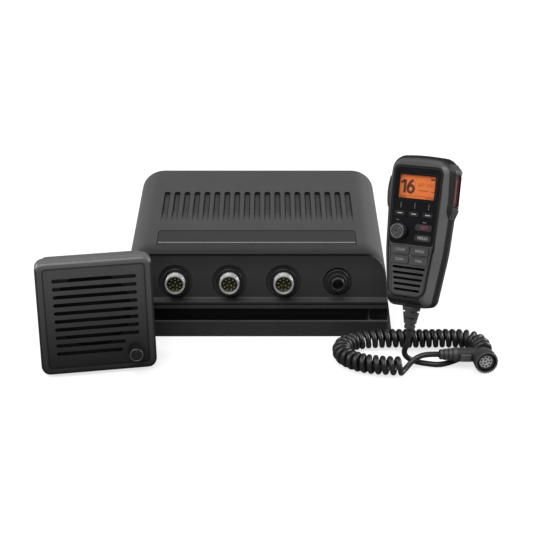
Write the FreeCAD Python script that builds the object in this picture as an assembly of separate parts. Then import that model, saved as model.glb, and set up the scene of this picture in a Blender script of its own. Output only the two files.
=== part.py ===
import FreeCAD, Part
import math
import os
from FreeCAD import Placement, Rotation, Vector

# A marine VHF radio in three units: a black-box transceiver, a loudspeaker with a volume knob
# and a fist handset on a curly cord. Millimetres, +Z up. The origin is on the floor, at the
# middle of the transceiver's width; its connector side faces -Y.

AXIS_X = Vector(1, 0, 0)
AXIS_Y = Vector(0, 1, 0)
AXIS_Z = Vector(0, 0, 1)

# ---- clearances shared by all units
FIT_GAP = 0.3
SHAFT_GAP = 0.05
TRIM_GAP = 0.15

# ---- transceiver: base tray
BASE_HALF_WIDTH = 126.0
BASE_FRONT = -106.0
BASE_REAR = 109.0
BASE_HEIGHT = 26.0
BASE_DRAFT = 3.4
BASE_CORNER = 6.0
BASE_WALL = 3.0
BASE_FLOOR = 3.0
LIP_HEIGHT = 15.0
LIP_WALL = 2.6
TROUGH_BACK = -91.5
FOOT_FRONT = -93.0
FLANGE_THICKNESS = 4.0
LEDGE_DEPTH = 14.0
LEDGE_HEIGHT = 8.0
FIXING_X = 113.5
FIXING_FRONT_Y = -94.5
FIXING_REAR_Y = 116.0
FIXING_HOLE_RADIUS = 2.75
FIXING_RECESS_RADIUS = 8.5
FIXING_SEAT = 5.0
END_BLOCK_HEIGHT = 14.0
END_BLOCK_LENGTH = 20.0

# ---- transceiver: top cover
SEAM_HEIGHT = 0.6
SEAM_INSET = 1.0
SEAM_WIDTH = 2.4
COVER_TOP = 73.6
COVER_REAR = 108.3
COVER_SIDE_INSET = 0.2
COVER_DRAFT = 4.0
COVER_SHOULDER = 24.0
COVER_WALL = 3.4
COVER_EDGE = 1.6
PANEL_FOOT_HEIGHT = 2.8
PANEL_BOTTOM_Y = -88.4
PANEL_BOTTOM_Z = 31.4
PANEL_TOP_Y = -79.7
GROOVE_COUNT = 19
GROOVE_PITCH = 10.0
GROOVE_WIDTH = 5.2
GROOVE_DEPTH = 2.4
GROOVE_NEAR_Y = -13.8
GROOVE_FAR_Y = 53.9
POCKET_HALF_WIDTH = 93.5
POCKET_NEAR_Y = -67.8
POCKET_FAR_Y = -32.5
POCKET_DEPTH = 0.5
POCKET_CORNER = 4.0
SCREW_X = 110.0
SCREW_ROWS_Y = (-78.0, 9.0, 96.0)
SCREW_BOSS_RADIUS = 4.6
SCREW_RADIUS = 1.5
SCREW_HEAD_RADIUS = 3.2
SCREW_HEAD_HEIGHT = 2.4
SCREW_BITE = 16.0

# ---- transceiver: sockets in the connector panel
SOCKET_PITCH = 50.0
SOCKET_Z = 46.8
RECESS_RADIUS = 16.0
RECESS_DEPTH = 2.5
PANEL_BACKING = 4.0
BACKING_MARGIN = 2.5
SEAT_RADIUS = 12.4
SEAT_PROUD = 0.9
BARREL_RADIUS = 9.1
BARREL_BORE = 7.5
BARREL_PROUD = 12.0
BARREL_SHOULDER = 0.3
BARREL_LIP = 0.5
BARREL_FLANGE_RADIUS = 12.0
BARREL_FLANGE = 2.0
INSERT_PROUD = 4.0
PIN_RADIUS = 0.65
PIN_LENGTH = 5.5
OUTER_PIN_COUNT = 9
OUTER_PIN_CIRCLE = 5.1
INNER_PIN_COUNT = 3
INNER_PIN_CIRCLE = 2.1
NETWORK_RECESS_RADIUS = 13.3
NETWORK_RADIUS = 8.6
NETWORK_BORE = 6.6
NETWORK_PROUD = 6.0
NETWORK_PIN_COUNT = 5
NETWORK_PIN_CIRCLE = 3.6

# ---- transceiver: rear sockets
REAR_SOCKET_Z = 49.0
ANTENNA_X = -70.0
ANTENNA_FLANGE = 25.4
ANTENNA_FLANGE_THICKNESS = 2.0
ANTENNA_RADIUS = 7.9
ANTENNA_LENGTH = 15.0
ANTENNA_CUP_RADIUS = 6.0
ANTENNA_CUP_DEPTH = 4.0
ANTENNA_CONTACT_RADIUS = 2.8
ANTENNA_CONTACT_BORE = 2.0
POWER_X = 62.0
POWER_FLANGE_RADIUS = 13.0
POWER_RADIUS = 9.5
POWER_BORE = 7.4
POWER_LENGTH = 9.0
POWER_PIN_RADIUS = 1.5
POWER_PIN_SPACING = 6.4

# ---- transceiver: inside
POST_RADIUS = 4.0
POST_X = 86.0
POST_FRONT_Y = -62.0
POST_REAR_Y = 84.0
HEAT_SINK_Z = 8.0
HEAT_SINK_PLATE = 4.0
HEAT_SINK_MARGIN = 8.0
FIN_COUNT = 11
FIN_HEIGHT = 5.0
FIN_THICKNESS = 2.0
FIN_PITCH = 13.0
BOARD_THICKNESS = 1.6
STANDOFF_HEIGHT = 8.0
SHIELD_LENGTH = 84.0
SHIELD_DEPTH = 62.0
SHIELD_HEIGHT = 14.0
SHIELD_WALL = 0.8

# ---- loudspeaker
SPEAKER_CORNER_X = -138.0
SPEAKER_FRONT_Y = -173.0
SPEAKER_YAW = 9.0
SPEAKER_WIDTH = 102.0
SPEAKER_HEIGHT = 104.0
SPEAKER_CORNER = 8.0
BEZEL_DEPTH = 14.0
BEZEL_WALL = 3.0
BEZEL_BORDER = 7.0
BEZEL_ROUND = 4.6
BAFFLE_FRONT = 5.0
BAFFLE_THICKNESS = 2.5
GRILLE_SET_BACK = 0.4
GRILLE_THICKNESS = 2.2
GRILLE_CORNER = 3.0
HOUSING_DEPTH = 23.5
HOUSING_INSET = 5.0
HOUSING_WALL = 2.5
HOUSING_FLANGE = 2.5
SLOT_COUNT = 10
SLOT_PITCH = 7.4
SLOT_HEIGHT = 3.4
SLOT_TOP_Z = 86.3
SLOT_HALF_LENGTH = 36.7
SHORT_SLOT_ENDS = (24.3, 21.4)
VOLUME_X = 32.0
VOLUME_Z = 19.2
VOLUME_RADIUS = 6.6
VOLUME_LENGTH = 17.0
VOLUME_TAPER = 0.5
VOLUME_COLLAR = 8.0
VOLUME_COLLAR_HEIGHT = 1.0
VOLUME_SHAFT = 3.0
VOLUME_SHAFT_REACH = 9.0
POT_RADIUS = 7.0
POT_DEPTH = 8.0
DRIVER_X = -3.0
DRIVER_Z = 57.0
DRIVER_RADIUS = 39.0
DRIVER_OPENING = 34.0
DRIVER_FLANGE = 1.6
MAGNET_RADIUS = 19.0
MAGNET_DEPTH = 8.0
BASKET_DEPTH = 12.0
AMPLIFIER_SIZE = 40.0
COLUMN_INSET = 11.0
COLUMN_RADIUS = 4.0
STUD_SPREAD = 30.0
STUD_HOLE_RADIUS = 2.0
STUD_BOSS_RADIUS = 5.0
STUD_HOLE_DEPTH = 8.0
GLAND_RADIUS = 6.5
GLAND_BORE = 3.2
GLAND_LENGTH = 8.0
GLAND_Z = 32.0

# ---- handset: place, form and shells
HANDSET_FOOT = Vector(137.4, -151.9, 58.0)
HANDSET_LEAN = 24.0
HANDSET_ROLL = 5.5
HANDSET_YAW = -33.0
HANDSET_OUTLINE = (
    (21.5, 0.0, 8.5),
    (28.2, 48.0, 150.0),
    (30.6, 96.0, 100.0),
    (29.2, 131.0, 14.0),
    (0.0, 133.0, 180.0),
)
HANDSET_FRONT = -14.0
HANDSET_REAR = 14.0
HANDSET_PARTING = 2.0
HANDSET_WALL = 2.2
FRONT_BEVEL = 6.0
FRONT_BEVEL_DEPTH = 8.0
REAR_BEVEL = 6.0
REAR_BEVEL_DEPTH = 8.0

# ---- handset: front panel, display and keys (x and z on the front face)
PANEL_OUTLINE = ((21.0, 54.4, 3.0), (22.6, 121.5, 5.0))
PANEL_THICKNESS = 1.2
DISPLAY_X = 0.0
DISPLAY_Z = 104.8
WINDOW_WIDTH = 35.4
WINDOW_HEIGHT = 20.8
LENS_MARGIN = 1.4
LENS_THICKNESS = 1.0
MODULE_MARGIN = 3.2
MODULE_DEPTH = 4.0
SOFT_KEY_X = (-13.5, 0.0, 13.5)
SOFT_KEY_Z = 81.2
SOFT_KEY_SIZE = (10.0, 4.6, 1.6)
SIDE_KEY_X = 10.8
SIDE_KEY_Z = (70.2, 61.0)
SIDE_KEY_SIZE = (16.0, 5.8, 2.4)
PAD_KEY_X = 9.4
PAD_KEY_Z = (49.4, 40.9)
PAD_KEY_SIZE = (17.0, 7.0, 1.4)
KEY_PROUD = 0.7
KEY_FLANGE = 0.55
KEY_FLANGE_THICKNESS = 1.0
KEY_TRAVEL_ROOM = 1.3
MEMBRANE_THICKNESS = 1.4
KNOB_X = -12.0
KNOB_Z = 65.2
KNOB_RADIUS = 7.4
KNOB_HEIGHT = 4.8
KNOB_LIFT = 1.0
KNOB_FLUTES = 12
KNOB_FLUTE_RADIUS = 0.7
KNOB_SHAFT = 2.6
ENCODER_SIZE = 11.0
RIM_OUTLINE = ((15.4, 10.6, 6.0), (21.0, 53.6, 1.5))
RIM_HEIGHT = 0.7
RIM_WIDTH = 0.9
VOICE_SLOT_COUNT = 5
VOICE_SLOT_PITCH = 4.85
VOICE_SLOT_TOP = 34.1
VOICE_SLOT_HEIGHT = 2.2
VOICE_SLOT_HALF = 15.9
VOICE_SLOT_STEP = 0.85
VOICE_DRIVER_RADIUS = 12.0
VOICE_DRIVER_DEPTH = 5.0
VOICE_DRIVER_Z = 24.4
HANDSET_BOARD_HALF = 20.5
HANDSET_BOARD_Z = (40.0, 122.0)
MICROPHONE_RADIUS = 2.6
MICROPHONE_DEPTH = 2.6
MICROPHONE_Z = 8.9
MICROPHONE_BACK = 1.8

# ---- handset: side controls, back and boot
TALK_KEY_Y = (-5.0, 5.0)
TALK_KEY_Z = (84.0, 114.0)
TALK_KEY_PROUD = 2.4
TALK_KEY_CORNER = 3.0
TALK_KEY_FLANGE = 1.2
TALK_KEY_SEAT = 3.6
DISTRESS_Y = -1.0
DISTRESS_Z = 104.0
DISTRESS_LENGTH = 27.0
DISTRESS_WIDTH = 10.0
DISTRESS_RECESS = 1.6
DISTRESS_PROUD = 1.0
DISTRESS_BUTTON = 3.8
DISTRESS_PAD = 3.2
HINGE_RADIUS = 1.4
HINGE_PIN = 0.7
HINGE_EAR = 2.2
HINGE_OUT = 0.6
REAR_SCREWS = ((20.0, 121.0), (18.6, 24.0))
REAR_BOSS_RADIUS = 3.0
REAR_SCREW_RADIUS = 1.1
REAR_HEAD_RADIUS = 2.2
REAR_HEAD_DEPTH = 1.8
HANG_STUD_Z = 92.0
HANG_STEM_RADIUS = 4.5
HANG_STEM_LENGTH = 5.0
HANG_HEAD_RADIUS = 8.0
HANG_HEAD_THICKNESS = 3.0
BOOT_TOP_RADIUS = 8.2
BOOT_END_RADIUS = 4.6
BOOT_LENGTH = 20.0
BOOT_CORE_RADIUS = 3.9
BOOT_NOTCHES = (4.6, 10.4, 16.0)
BOOT_NOTCH_HEIGHT = 1.7
BOOT_WEB = 2.6

# ---- curly cord: route points of its three stretches, in travel order from the handset
CORD_DIAMETER = 5.0
COIL_DIAMETER = 17.5
HANDSET_TAIL = (
    (134.7, -164.9, 28.8),
    (131.0, -161.6, 17.7),
    (134.1, -157.1, 8.6),
    (142.9, -155.6, 2.9),
    (153.2, -158.0, 2.5),
    (163.6, -160.4, 2.5),
    (174.2, -156.0, 2.5),
    (183.6, -149.4, 2.5),
    (191.8, -144.6, 2.8),
    (198.6, -143.0, 4.4),
)
COIL_ROUTE = (
    (204.4, -146.2, 8.75),
    (204.4, -137.1, 8.75),
    (199.9, -129.2, 8.75),
    (191.9, -124.7, 8.75),
    (176.0, -123.8, 8.75),
    (152.0, -124.6, 8.75),
    (128.0, -124.0, 8.75),
    (106.0, -124.6, 8.75),
    (87.6, -128.4, 8.75),
    (76.6, -139.4, 8.75),
    (77.6, -154.8, 8.75),
    (91.4, -166.4, 8.75),
    (109.6, -171.0, 8.75),
    (129.0, -172.2, 8.75),
)
PLUG_TAIL = (
    (127.4, -174.4, 3.2),
    (134.2, -168.0, 5.0),
    (139.8, -163.4, 9.6),
    (147.0, -161.2, 13.0),
    (155.0, -160.4, 13.8),
)

# ---- right-angle plug at the cord's end
PLUG_ELBOW = Vector(202.0, -154.2, 9.4)
PLUG_TURN = 8.0
PLUG_NOSE_LIFT = 6.0
PLUG_ARM_RISE = 5.3
ARM_RADIUS = 6.4
ARM_LENGTH = 24.0
ELBOW_RADIUS = 7.2
PLUG_BOOT_LENGTH = 15.0
PLUG_BOOT_END_RADIUS = 4.4
PLUG_BOOT_GROOVES = (4.0, 8.0, 12.0)
PLUG_BOOT_GROOVE_WIDTH = 1.5
PLUG_BOOT_GROOVE_DEPTH = 1.1
NECK_RADIUS = 8.0
NECK_LENGTH = 3.0
COUPLING_RADIUS = 10.2
COUPLING_BORE = 9.25
COUPLING_LENGTH = 10.0
COUPLING_LAND = 1.6
CORE_RADIUS = 7.3
CORE_REACH = 6.0
CORE_WALL = 1.2
DISC_RADIUS = 5.9
DISC_HOLE_RADIUS = 0.55


# ---------------------------------------------------------------- shape helpers
def flat_xy(z):
    return lambda u, v: Vector(u, v, z)


def flat_xz(y):
    return lambda u, v: Vector(u, y, v)


def flat_yz(x):
    return lambda u, v: Vector(x, u, v)


def rectangle(u0, u1, v0, v1):
    return [(u0, v0), (u1, v0), (u1, v1), (u0, v1)]


def inset(points, radii, distance):
    """A closed counter-clockwise outline moved inwards, with its corner radii kept concentric."""
    count = len(points)
    moved = []
    kept = []
    for i in range(count):
        before = Vector(*points[i - 1], 0)
        here = Vector(*points[i], 0)
        after = Vector(*points[(i + 1) % count], 0)
        into = (here - before).normalize()
        out = (after - here).normalize()
        turn = into.x * out.y - into.y * out.x
        cosine = into.dot(out)
        normal = Vector(-into.y - out.y, into.x + out.x, 0)
        corner = here + normal * (distance / (1 + cosine))
        moved.append((corner.x, corner.y))
        if radii[i] == 0:
            kept.append(0)
        elif turn > 0:
            kept.append(max(radii[i] - distance, 0.0))
        else:
            kept.append(radii[i] + distance)
    return moved, kept


def loop(points, radii, plane):
    """A closed wire of straight sides joined by tangent arcs."""
    count = len(points)
    starts = []
    ends = []
    arcs = []
    for i in range(count):
        before = Vector(*points[i - 1], 0)
        here = Vector(*points[i], 0)
        after = Vector(*points[(i + 1) % count], 0)
        back = (before - here).normalize()
        ahead = (after - here).normalize()
        half = back.getAngle(ahead) / 2
        radius = radii[i]
        reach = radius / math.tan(half)
        start = here + back * reach
        end = here + ahead * reach
        starts.append(plane(start.x, start.y))
        ends.append(plane(end.x, end.y))
        if radius > 0:
            middle = here + (back + ahead).normalize() * (radius / math.sin(half) - radius)
            arcs.append(Part.Arc(starts[i], plane(middle.x, middle.y), ends[i]).toShape())
        else:
            arcs.append(None)
    edges = []
    for i in range(count):
        if (starts[i] - ends[i - 1]).Length > 1e-6:
            edges.append(Part.LineSegment(ends[i - 1], starts[i]).toShape())
        if arcs[i]:
            edges.append(arcs[i])
    return Part.Wire(edges)


def prism(points, radii, plane, direction):
    return Part.Face(loop(points, radii, plane)).extrude(direction)


def plate_y(points, radii, y0, y1):
    """An outline drawn in X and Z, given its thickness along Y."""
    return prism(points, radii, flat_xz(y0), Vector(0, y1 - y0, 0))


def block(x0, x1, y0, y1, z0, z1):
    return Part.makeBox(x1 - x0, y1 - y0, z1 - z0, Vector(x0, y0, z0))


def rod(radius, start, axis, length):
    return Part.makeCylinder(radius, length, start, axis)


def tube(outer, inner, start, axis, length):
    return rod(outer, start, axis, length).cut(rod(inner, start, axis, length))


def turned(profile, radii):
    """A profile of (radius, height) points turned about Z."""
    face = Part.Face(loop(profile, radii, flat_xz(0)))
    return face.revolve(Vector(0, 0, 0), AXIS_Z, 360)


def placed(shape, place):
    copy = shape.copy()
    copy.Placement = place.multiply(copy.Placement)
    return copy


def moved(shape, x, y, z):
    return placed(shape, Placement(Vector(x, y, z), Rotation()))


def symmetric(half):
    """A closed outline from its right half, bottom to top; a point on the centre line stays single."""
    right = list(half)
    left = [(-u, v, r) for u, v, r in reversed(half) if u > 0]
    rows = right + left
    return [(u, v) for u, v, r in rows], [r for u, v, r in rows]


def save(name, *shapes):
    solids = [solid for shape in shapes for solid in shape.Solids]
    body = solids[0] if len(solids) == 1 else Part.makeCompound(solids)
    body.exportStep("parts/" + name + ".step")


# ---------------------------------------------------------------- places of the units
def panel_tilt():
    run = PANEL_TOP_Y - PANEL_BOTTOM_Y
    rise = COVER_TOP - PANEL_BOTTOM_Z
    return math.degrees(math.atan2(run, rise))


def panel_y(z):
    return PANEL_BOTTOM_Y + (z - PANEL_BOTTOM_Z) * math.tan(math.radians(panel_tilt()))


def on_panel(x):
    """A place on the connector panel, with +Z straight out of it."""
    return Placement(Vector(x, panel_y(SOCKET_Z), SOCKET_Z), Rotation(AXIS_X, 90 - panel_tilt()))


def speaker_lean():
    return math.degrees(math.atan2(HOUSING_INSET, HOUSING_DEPTH))


def speaker_place():
    lean = math.radians(speaker_lean())
    lift = BEZEL_DEPTH * math.sin(lean)
    turn = Rotation(AXIS_Z, SPEAKER_YAW).multiply(Rotation(AXIS_X, -speaker_lean()))
    return Placement(Vector(SPEAKER_CORNER_X, SPEAKER_FRONT_Y, lift), turn)


def handset_place():
    turn = Rotation(AXIS_X, -HANDSET_LEAN)
    turn = turn.multiply(Rotation(AXIS_Y, HANDSET_ROLL))
    turn = turn.multiply(Rotation(AXIS_Z, HANDSET_YAW))
    return Placement(HANDSET_FOOT, turn)


def plug_place():
    turn = Rotation(AXIS_Z, PLUG_TURN)
    turn = turn.multiply(Rotation(AXIS_X, -PLUG_NOSE_LIFT))
    turn = turn.multiply(Rotation(AXIS_Y, PLUG_ARM_RISE))
    return Placement(PLUG_ELBOW, turn)


# ---------------------------------------------------------------- transceiver housing
def base_half_width(z):
    return BASE_HALF_WIDTH - BASE_DRAFT * z / BASE_HEIGHT


def base_outline(z, shrink):
    half = base_half_width(z)
    points = rectangle(-half, half, BASE_FRONT + BASE_DRAFT * z / BASE_HEIGHT, BASE_REAR)
    return inset(points, [BASE_CORNER] * 4, shrink)


def base_block(shrink, z0, z1):
    low_points, low_radii = base_outline(z0, shrink)
    top_points, top_radii = base_outline(z1, shrink)
    low = loop(low_points, low_radii, flat_xy(z0))
    top = loop(top_points, top_radii, flat_xy(z1))
    return Part.makeLoft([low, top], True, True)


def screw_places():
    return [(side * SCREW_X, y) for side in (-1, 1) for y in SCREW_ROWS_Y]


def fixing_places():
    return [(side * FIXING_X, y) for side in (-1, 1) for y in (FIXING_FRONT_Y, FIXING_REAR_Y)]


def post_places():
    return [(side * POST_X, y) for side in (-1, 1) for y in (POST_FRONT_Y, POST_REAR_Y)]


def base_tray():
    tray = base_block(0, 0, BASE_HEIGHT)
    cavity = base_block(BASE_WALL, BASE_FLOOR, BASE_HEIGHT)
    cavity_front = TROUGH_BACK + BASE_WALL
    wide = BASE_HALF_WIDTH * 2
    behind = block(-wide, wide, cavity_front, BASE_REAR, 0, BASE_HEIGHT)
    tray = tray.cut(cavity.common(behind))
    # open trough between the front lip and the wall under the connector panel
    above_lip = block(-wide, wide, BASE_FRONT - 1, FOOT_FRONT, LIP_HEIGHT, BASE_HEIGHT)
    tray = tray.cut(above_lip)
    trough_front = BASE_FRONT + BASE_DRAFT * LIP_HEIGHT / BASE_HEIGHT + LIP_WALL
    trough_end = base_half_width(LIP_HEIGHT) - LIP_WALL
    under_flange = BASE_HEIGHT - FLANGE_THICKNESS
    trough = block(-trough_end, trough_end, trough_front, TROUGH_BACK, BASE_FLOOR, under_flange)
    tray = tray.cut(trough)
    # end blocks that carry the front fixings
    for side in (-1, 1):
        near = side * trough_end
        far = side * (trough_end - END_BLOCK_LENGTH)
        low, high = min(near, far), max(near, far)
        tray = tray.fuse(block(low, high, trough_front, TROUGH_BACK, BASE_FLOOR, END_BLOCK_HEIGHT))
        shelter = rod(FIXING_RECESS_RADIUS + BASE_WALL, Vector(side * FIXING_X, FIXING_FRONT_Y, 0), AXIS_Z, BASE_HEIGHT)
        tray = tray.fuse(shelter.common(block(-trough_end, trough_end, TROUGH_BACK, BASE_REAR, 0, BASE_HEIGHT)))
    # rear ledge with the rear fixings
    ledge_half = base_half_width(0)
    ledge_points = rectangle(-ledge_half, ledge_half, BASE_REAR - BASE_CORNER * 2, BASE_REAR + LEDGE_DEPTH)
    ledge = prism(ledge_points, [0, 0, BASE_CORNER, BASE_CORNER], flat_xy(0), Vector(0, 0, LEDGE_HEIGHT))
    keep = block(-wide, wide, BASE_REAR - BASE_WALL, BASE_REAR + LEDGE_DEPTH, 0, LEDGE_HEIGHT)
    tray = tray.fuse(ledge.common(keep))
    # posts and screw bosses
    for x, y in post_places():
        tray = tray.fuse(rod(POST_RADIUS, Vector(x, y, BASE_FLOOR), AXIS_Z, HEAT_SINK_Z - BASE_FLOOR))
    for x, y in screw_places():
        tray = tray.fuse(rod(SCREW_BOSS_RADIUS, Vector(x, y, 0), AXIS_Z, BASE_HEIGHT))
    tools = []
    for x, y in screw_places():
        tools.append(rod(SCREW_RADIUS + TRIM_GAP, Vector(x, y, 0), AXIS_Z, BASE_HEIGHT))
        tools.append(rod(SCREW_HEAD_RADIUS + FIT_GAP, Vector(x, y, 0), AXIS_Z, SCREW_HEAD_HEIGHT + FIT_GAP))
    for x, y in fixing_places():
        tools.append(rod(FIXING_HOLE_RADIUS, Vector(x, y, 0), AXIS_Z, FIXING_SEAT))
    for side in (-1, 1):
        recess = rod(FIXING_RECESS_RADIUS, Vector(side * FIXING_X, FIXING_FRONT_Y, FIXING_SEAT), AXIS_Z,
                     under_flange - FIXING_SEAT)
        clear = block(-trough_end, trough_end, trough_front, BASE_REAR, FIXING_SEAT, under_flange)
        tools.append(recess.common(clear))
        tools.append(rod(FIXING_HOLE_RADIUS * 2, Vector(side * FIXING_X, FIXING_REAR_Y, FIXING_SEAT), AXIS_Z,
                         LEDGE_HEIGHT - FIXING_SEAT))
    return tray.cut(tools).removeSplitter()


def seam_outline(shrink):
    half = base_half_width(BASE_HEIGHT)
    return inset(rectangle(-half, half, FOOT_FRONT, COVER_REAR), [BASE_CORNER] * 4, shrink)


def cover_gasket():
    outer, outer_radii = seam_outline(SEAM_INSET)
    inner, inner_radii = seam_outline(SEAM_INSET + SEAM_WIDTH)
    up = Vector(0, 0, SEAM_HEIGHT)
    ring = prism(outer, outer_radii, flat_xy(BASE_HEIGHT), up)
    return ring.cut(prism(inner, inner_radii, flat_xy(BASE_HEIGHT), up))


def cover_bottom():
    return BASE_HEIGHT + SEAM_HEIGHT


def cover_block(shrink, bottom):
    """The cover's outer form, or its inside when shrunk: a shouldered section cut by a side profile."""
    slope = COVER_DRAFT / (COVER_TOP - cover_bottom())
    top_half = base_half_width(BASE_HEIGHT) - COVER_SIDE_INSET - COVER_DRAFT
    low_half = top_half + slope * (COVER_TOP - bottom)
    section = [(-low_half, bottom), (low_half, bottom), (top_half, COVER_TOP), (-top_half, COVER_TOP)]
    section, section_radii = inset(section, [0, 0, COVER_SHOULDER, COVER_SHOULDER], shrink)
    foot_top = cover_bottom() + PANEL_FOOT_HEIGHT
    side = [
        (FOOT_FRONT, bottom),
        (COVER_REAR, bottom),
        (COVER_REAR, COVER_TOP),
        (PANEL_TOP_Y, COVER_TOP),
        (PANEL_BOTTOM_Y, PANEL_BOTTOM_Z),
        (FOOT_FRONT, foot_top),
    ]
    side, side_radii = inset(side, [0, 0, 0, 0, 2.0, 0.8], shrink)
    length = COVER_REAR - FOOT_FRONT
    across = prism(section, section_radii, flat_xz(FOOT_FRONT - 1), Vector(0, length + 2, 0))
    wide = BASE_HALF_WIDTH
    along = prism(side, side_radii, flat_yz(-wide), Vector(wide * 2, 0, 0))
    return across.common(along)


def groove_tool(x):
    """A cooling groove that starts at the surface and deepens to a round far end."""
    half = GROOVE_WIDTH / 2
    straight = GROOVE_FAR_Y - half
    plan = [(x - half, GROOVE_NEAR_Y), (x + half, GROOVE_NEAR_Y), (x + half, GROOVE_FAR_Y), (x - half, GROOVE_FAR_Y)]
    slot = prism(plan, [0, 0, half - 0.01, half - 0.01], flat_xy(COVER_TOP - GROOVE_DEPTH), Vector(0, 0, GROOVE_DEPTH + 1))
    ramp = [
        (GROOVE_NEAR_Y, COVER_TOP),
        ((GROOVE_NEAR_Y + straight) / 2, COVER_TOP - GROOVE_DEPTH),
        (GROOVE_FAR_Y + 1, COVER_TOP - GROOVE_DEPTH),
        (GROOVE_FAR_Y + 1, COVER_TOP + 1),
        (GROOVE_NEAR_Y, COVER_TOP + 1),
    ]
    wedge = prism(ramp, [0] * 5, flat_yz(x - half), Vector(GROOVE_WIDTH, 0, 0))
    return slot.common(wedge)


def socket_xs():
    return [(i - 1.5) * SOCKET_PITCH for i in range(3)]


def network_x():
    return 1.5 * SOCKET_PITCH


def top_cover():
    outer = cover_block(0, cover_bottom())
    front_edges = []
    for edge in outer.Edges:
        box = edge.BoundBox
        on_front = box.YMax < PANEL_TOP_Y + 0.1 and box.ZMin > PANEL_BOTTOM_Z + 2.1
        on_rear = box.YMin > COVER_REAR - 0.1 and box.ZMax > cover_bottom() + 0.1
        if on_front or on_rear:
            front_edges.append(edge)
    outer = outer.makeFillet(COVER_EDGE, front_edges)
    cavity = cover_block(COVER_WALL, cover_bottom() - COVER_WALL * 3)
    shell = outer.cut(cavity)
    adds = []
    for x, y in screw_places():
        boss = rod(SCREW_BOSS_RADIUS, Vector(x, y, cover_bottom()), AXIS_Z, COVER_TOP - cover_bottom())
        adds.append(boss.common(cover_block(COVER_WALL / 2, cover_bottom())))
    depth = RECESS_DEPTH + PANEL_BACKING
    for x in socket_xs() + [network_x()]:
        radius = RECESS_RADIUS if x != network_x() else NETWORK_RECESS_RADIUS
        backing = Part.makeCylinder(radius + BACKING_MARGIN, depth - 1, Vector(0, 0, -depth), AXIS_Z)
        adds.append(placed(backing, on_panel(x)))
    shell = shell.fuse(adds)
    tools = [groove_tool((i - (GROOVE_COUNT - 1) / 2) * GROOVE_PITCH) for i in range(GROOVE_COUNT)]
    pocket = rectangle(-POCKET_HALF_WIDTH, POCKET_HALF_WIDTH, POCKET_NEAR_Y, POCKET_FAR_Y)
    tools.append(prism(pocket, [POCKET_CORNER] * 4, flat_xy(COVER_TOP - POCKET_DEPTH), Vector(0, 0, 2)))
    for x in socket_xs():
        tools.append(placed(rod(RECESS_RADIUS, Vector(0, 0, -RECESS_DEPTH), AXIS_Z, 12), on_panel(x)))
        tools.append(placed(rod(BARREL_RADIUS + TRIM_GAP, Vector(0, 0, -12), AXIS_Z, 14), on_panel(x)))
    tools.append(placed(rod(NETWORK_RECESS_RADIUS, Vector(0, 0, -RECESS_DEPTH), AXIS_Z, 12), on_panel(network_x())))
    tools.append(placed(rod(NETWORK_RADIUS + TRIM_GAP, Vector(0, 0, -12), AXIS_Z, 14), on_panel(network_x())))
    inner_rear = COVER_REAR - COVER_WALL - 1
    rear_bore = COVER_WALL + 2
    tools.append(rod(ANTENNA_RADIUS + TRIM_GAP, Vector(ANTENNA_X, inner_rear, REAR_SOCKET_Z), AXIS_Y, rear_bore))
    tools.append(rod(POWER_RADIUS + TRIM_GAP, Vector(POWER_X, inner_rear, REAR_SOCKET_Z), AXIS_Y, rear_bore))
    for x, y in screw_places():
        tools.append(rod(SCREW_RADIUS, Vector(x, y, cover_bottom()), AXIS_Z, SCREW_BITE))
    return shell.cut(tools)


def cover_screws():
    head_low = FIT_GAP
    screws = []
    for x, y in screw_places():
        head = rod(SCREW_HEAD_RADIUS, Vector(x, y, head_low), AXIS_Z, SCREW_HEAD_HEIGHT)
        shank = rod(SCREW_RADIUS, Vector(x, y, head_low), AXIS_Z, cover_bottom() + SCREW_BITE - 1 - head_low)
        socket = rod(SCREW_RADIUS, Vector(x, y, head_low), AXIS_Z, SCREW_HEAD_HEIGHT / 2)
        screws.append(head.fuse(shank).cut(socket))
    return screws


# ---------------------------------------------------------------- transceiver sockets
def socket_seat():
    low = -RECESS_DEPTH
    inner = BARREL_RADIUS - BARREL_SHOULDER + TRIM_GAP
    profile = [
        (inner, low),
        (SEAT_RADIUS, low),
        (SEAT_RADIUS, SEAT_PROUD),
        (inner, SEAT_PROUD),
    ]
    return turned(profile, [0, 0, 1.0, 0])


def socket_shell(radius, bore, shoulder, proud):
    """A flanged barrel: a neck through the panel, then the free barrel the plug goes over."""
    back = -RECESS_DEPTH - PANEL_BACKING
    neck = radius - BARREL_SHOULDER
    profile = [
        (bore, back - BARREL_FLANGE),
        (BARREL_FLANGE_RADIUS, back - BARREL_FLANGE),
        (BARREL_FLANGE_RADIUS, back),
        (neck, back),
        (neck, shoulder),
        (radius, shoulder),
        (radius, proud),
        (bore, proud),
    ]
    return turned(profile, [0, 0, 0, 0, 0, 0, BARREL_LIP, BARREL_LIP])


def pin_ring(count, circle, low, high):
    pins = []
    for i in range(count):
        angle = 2 * math.pi * i / count
        centre = Vector(circle * math.sin(angle), circle * math.cos(angle), low)
        pins.append(rod(PIN_RADIUS, centre, AXIS_Z, high - low))
    return pins


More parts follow.
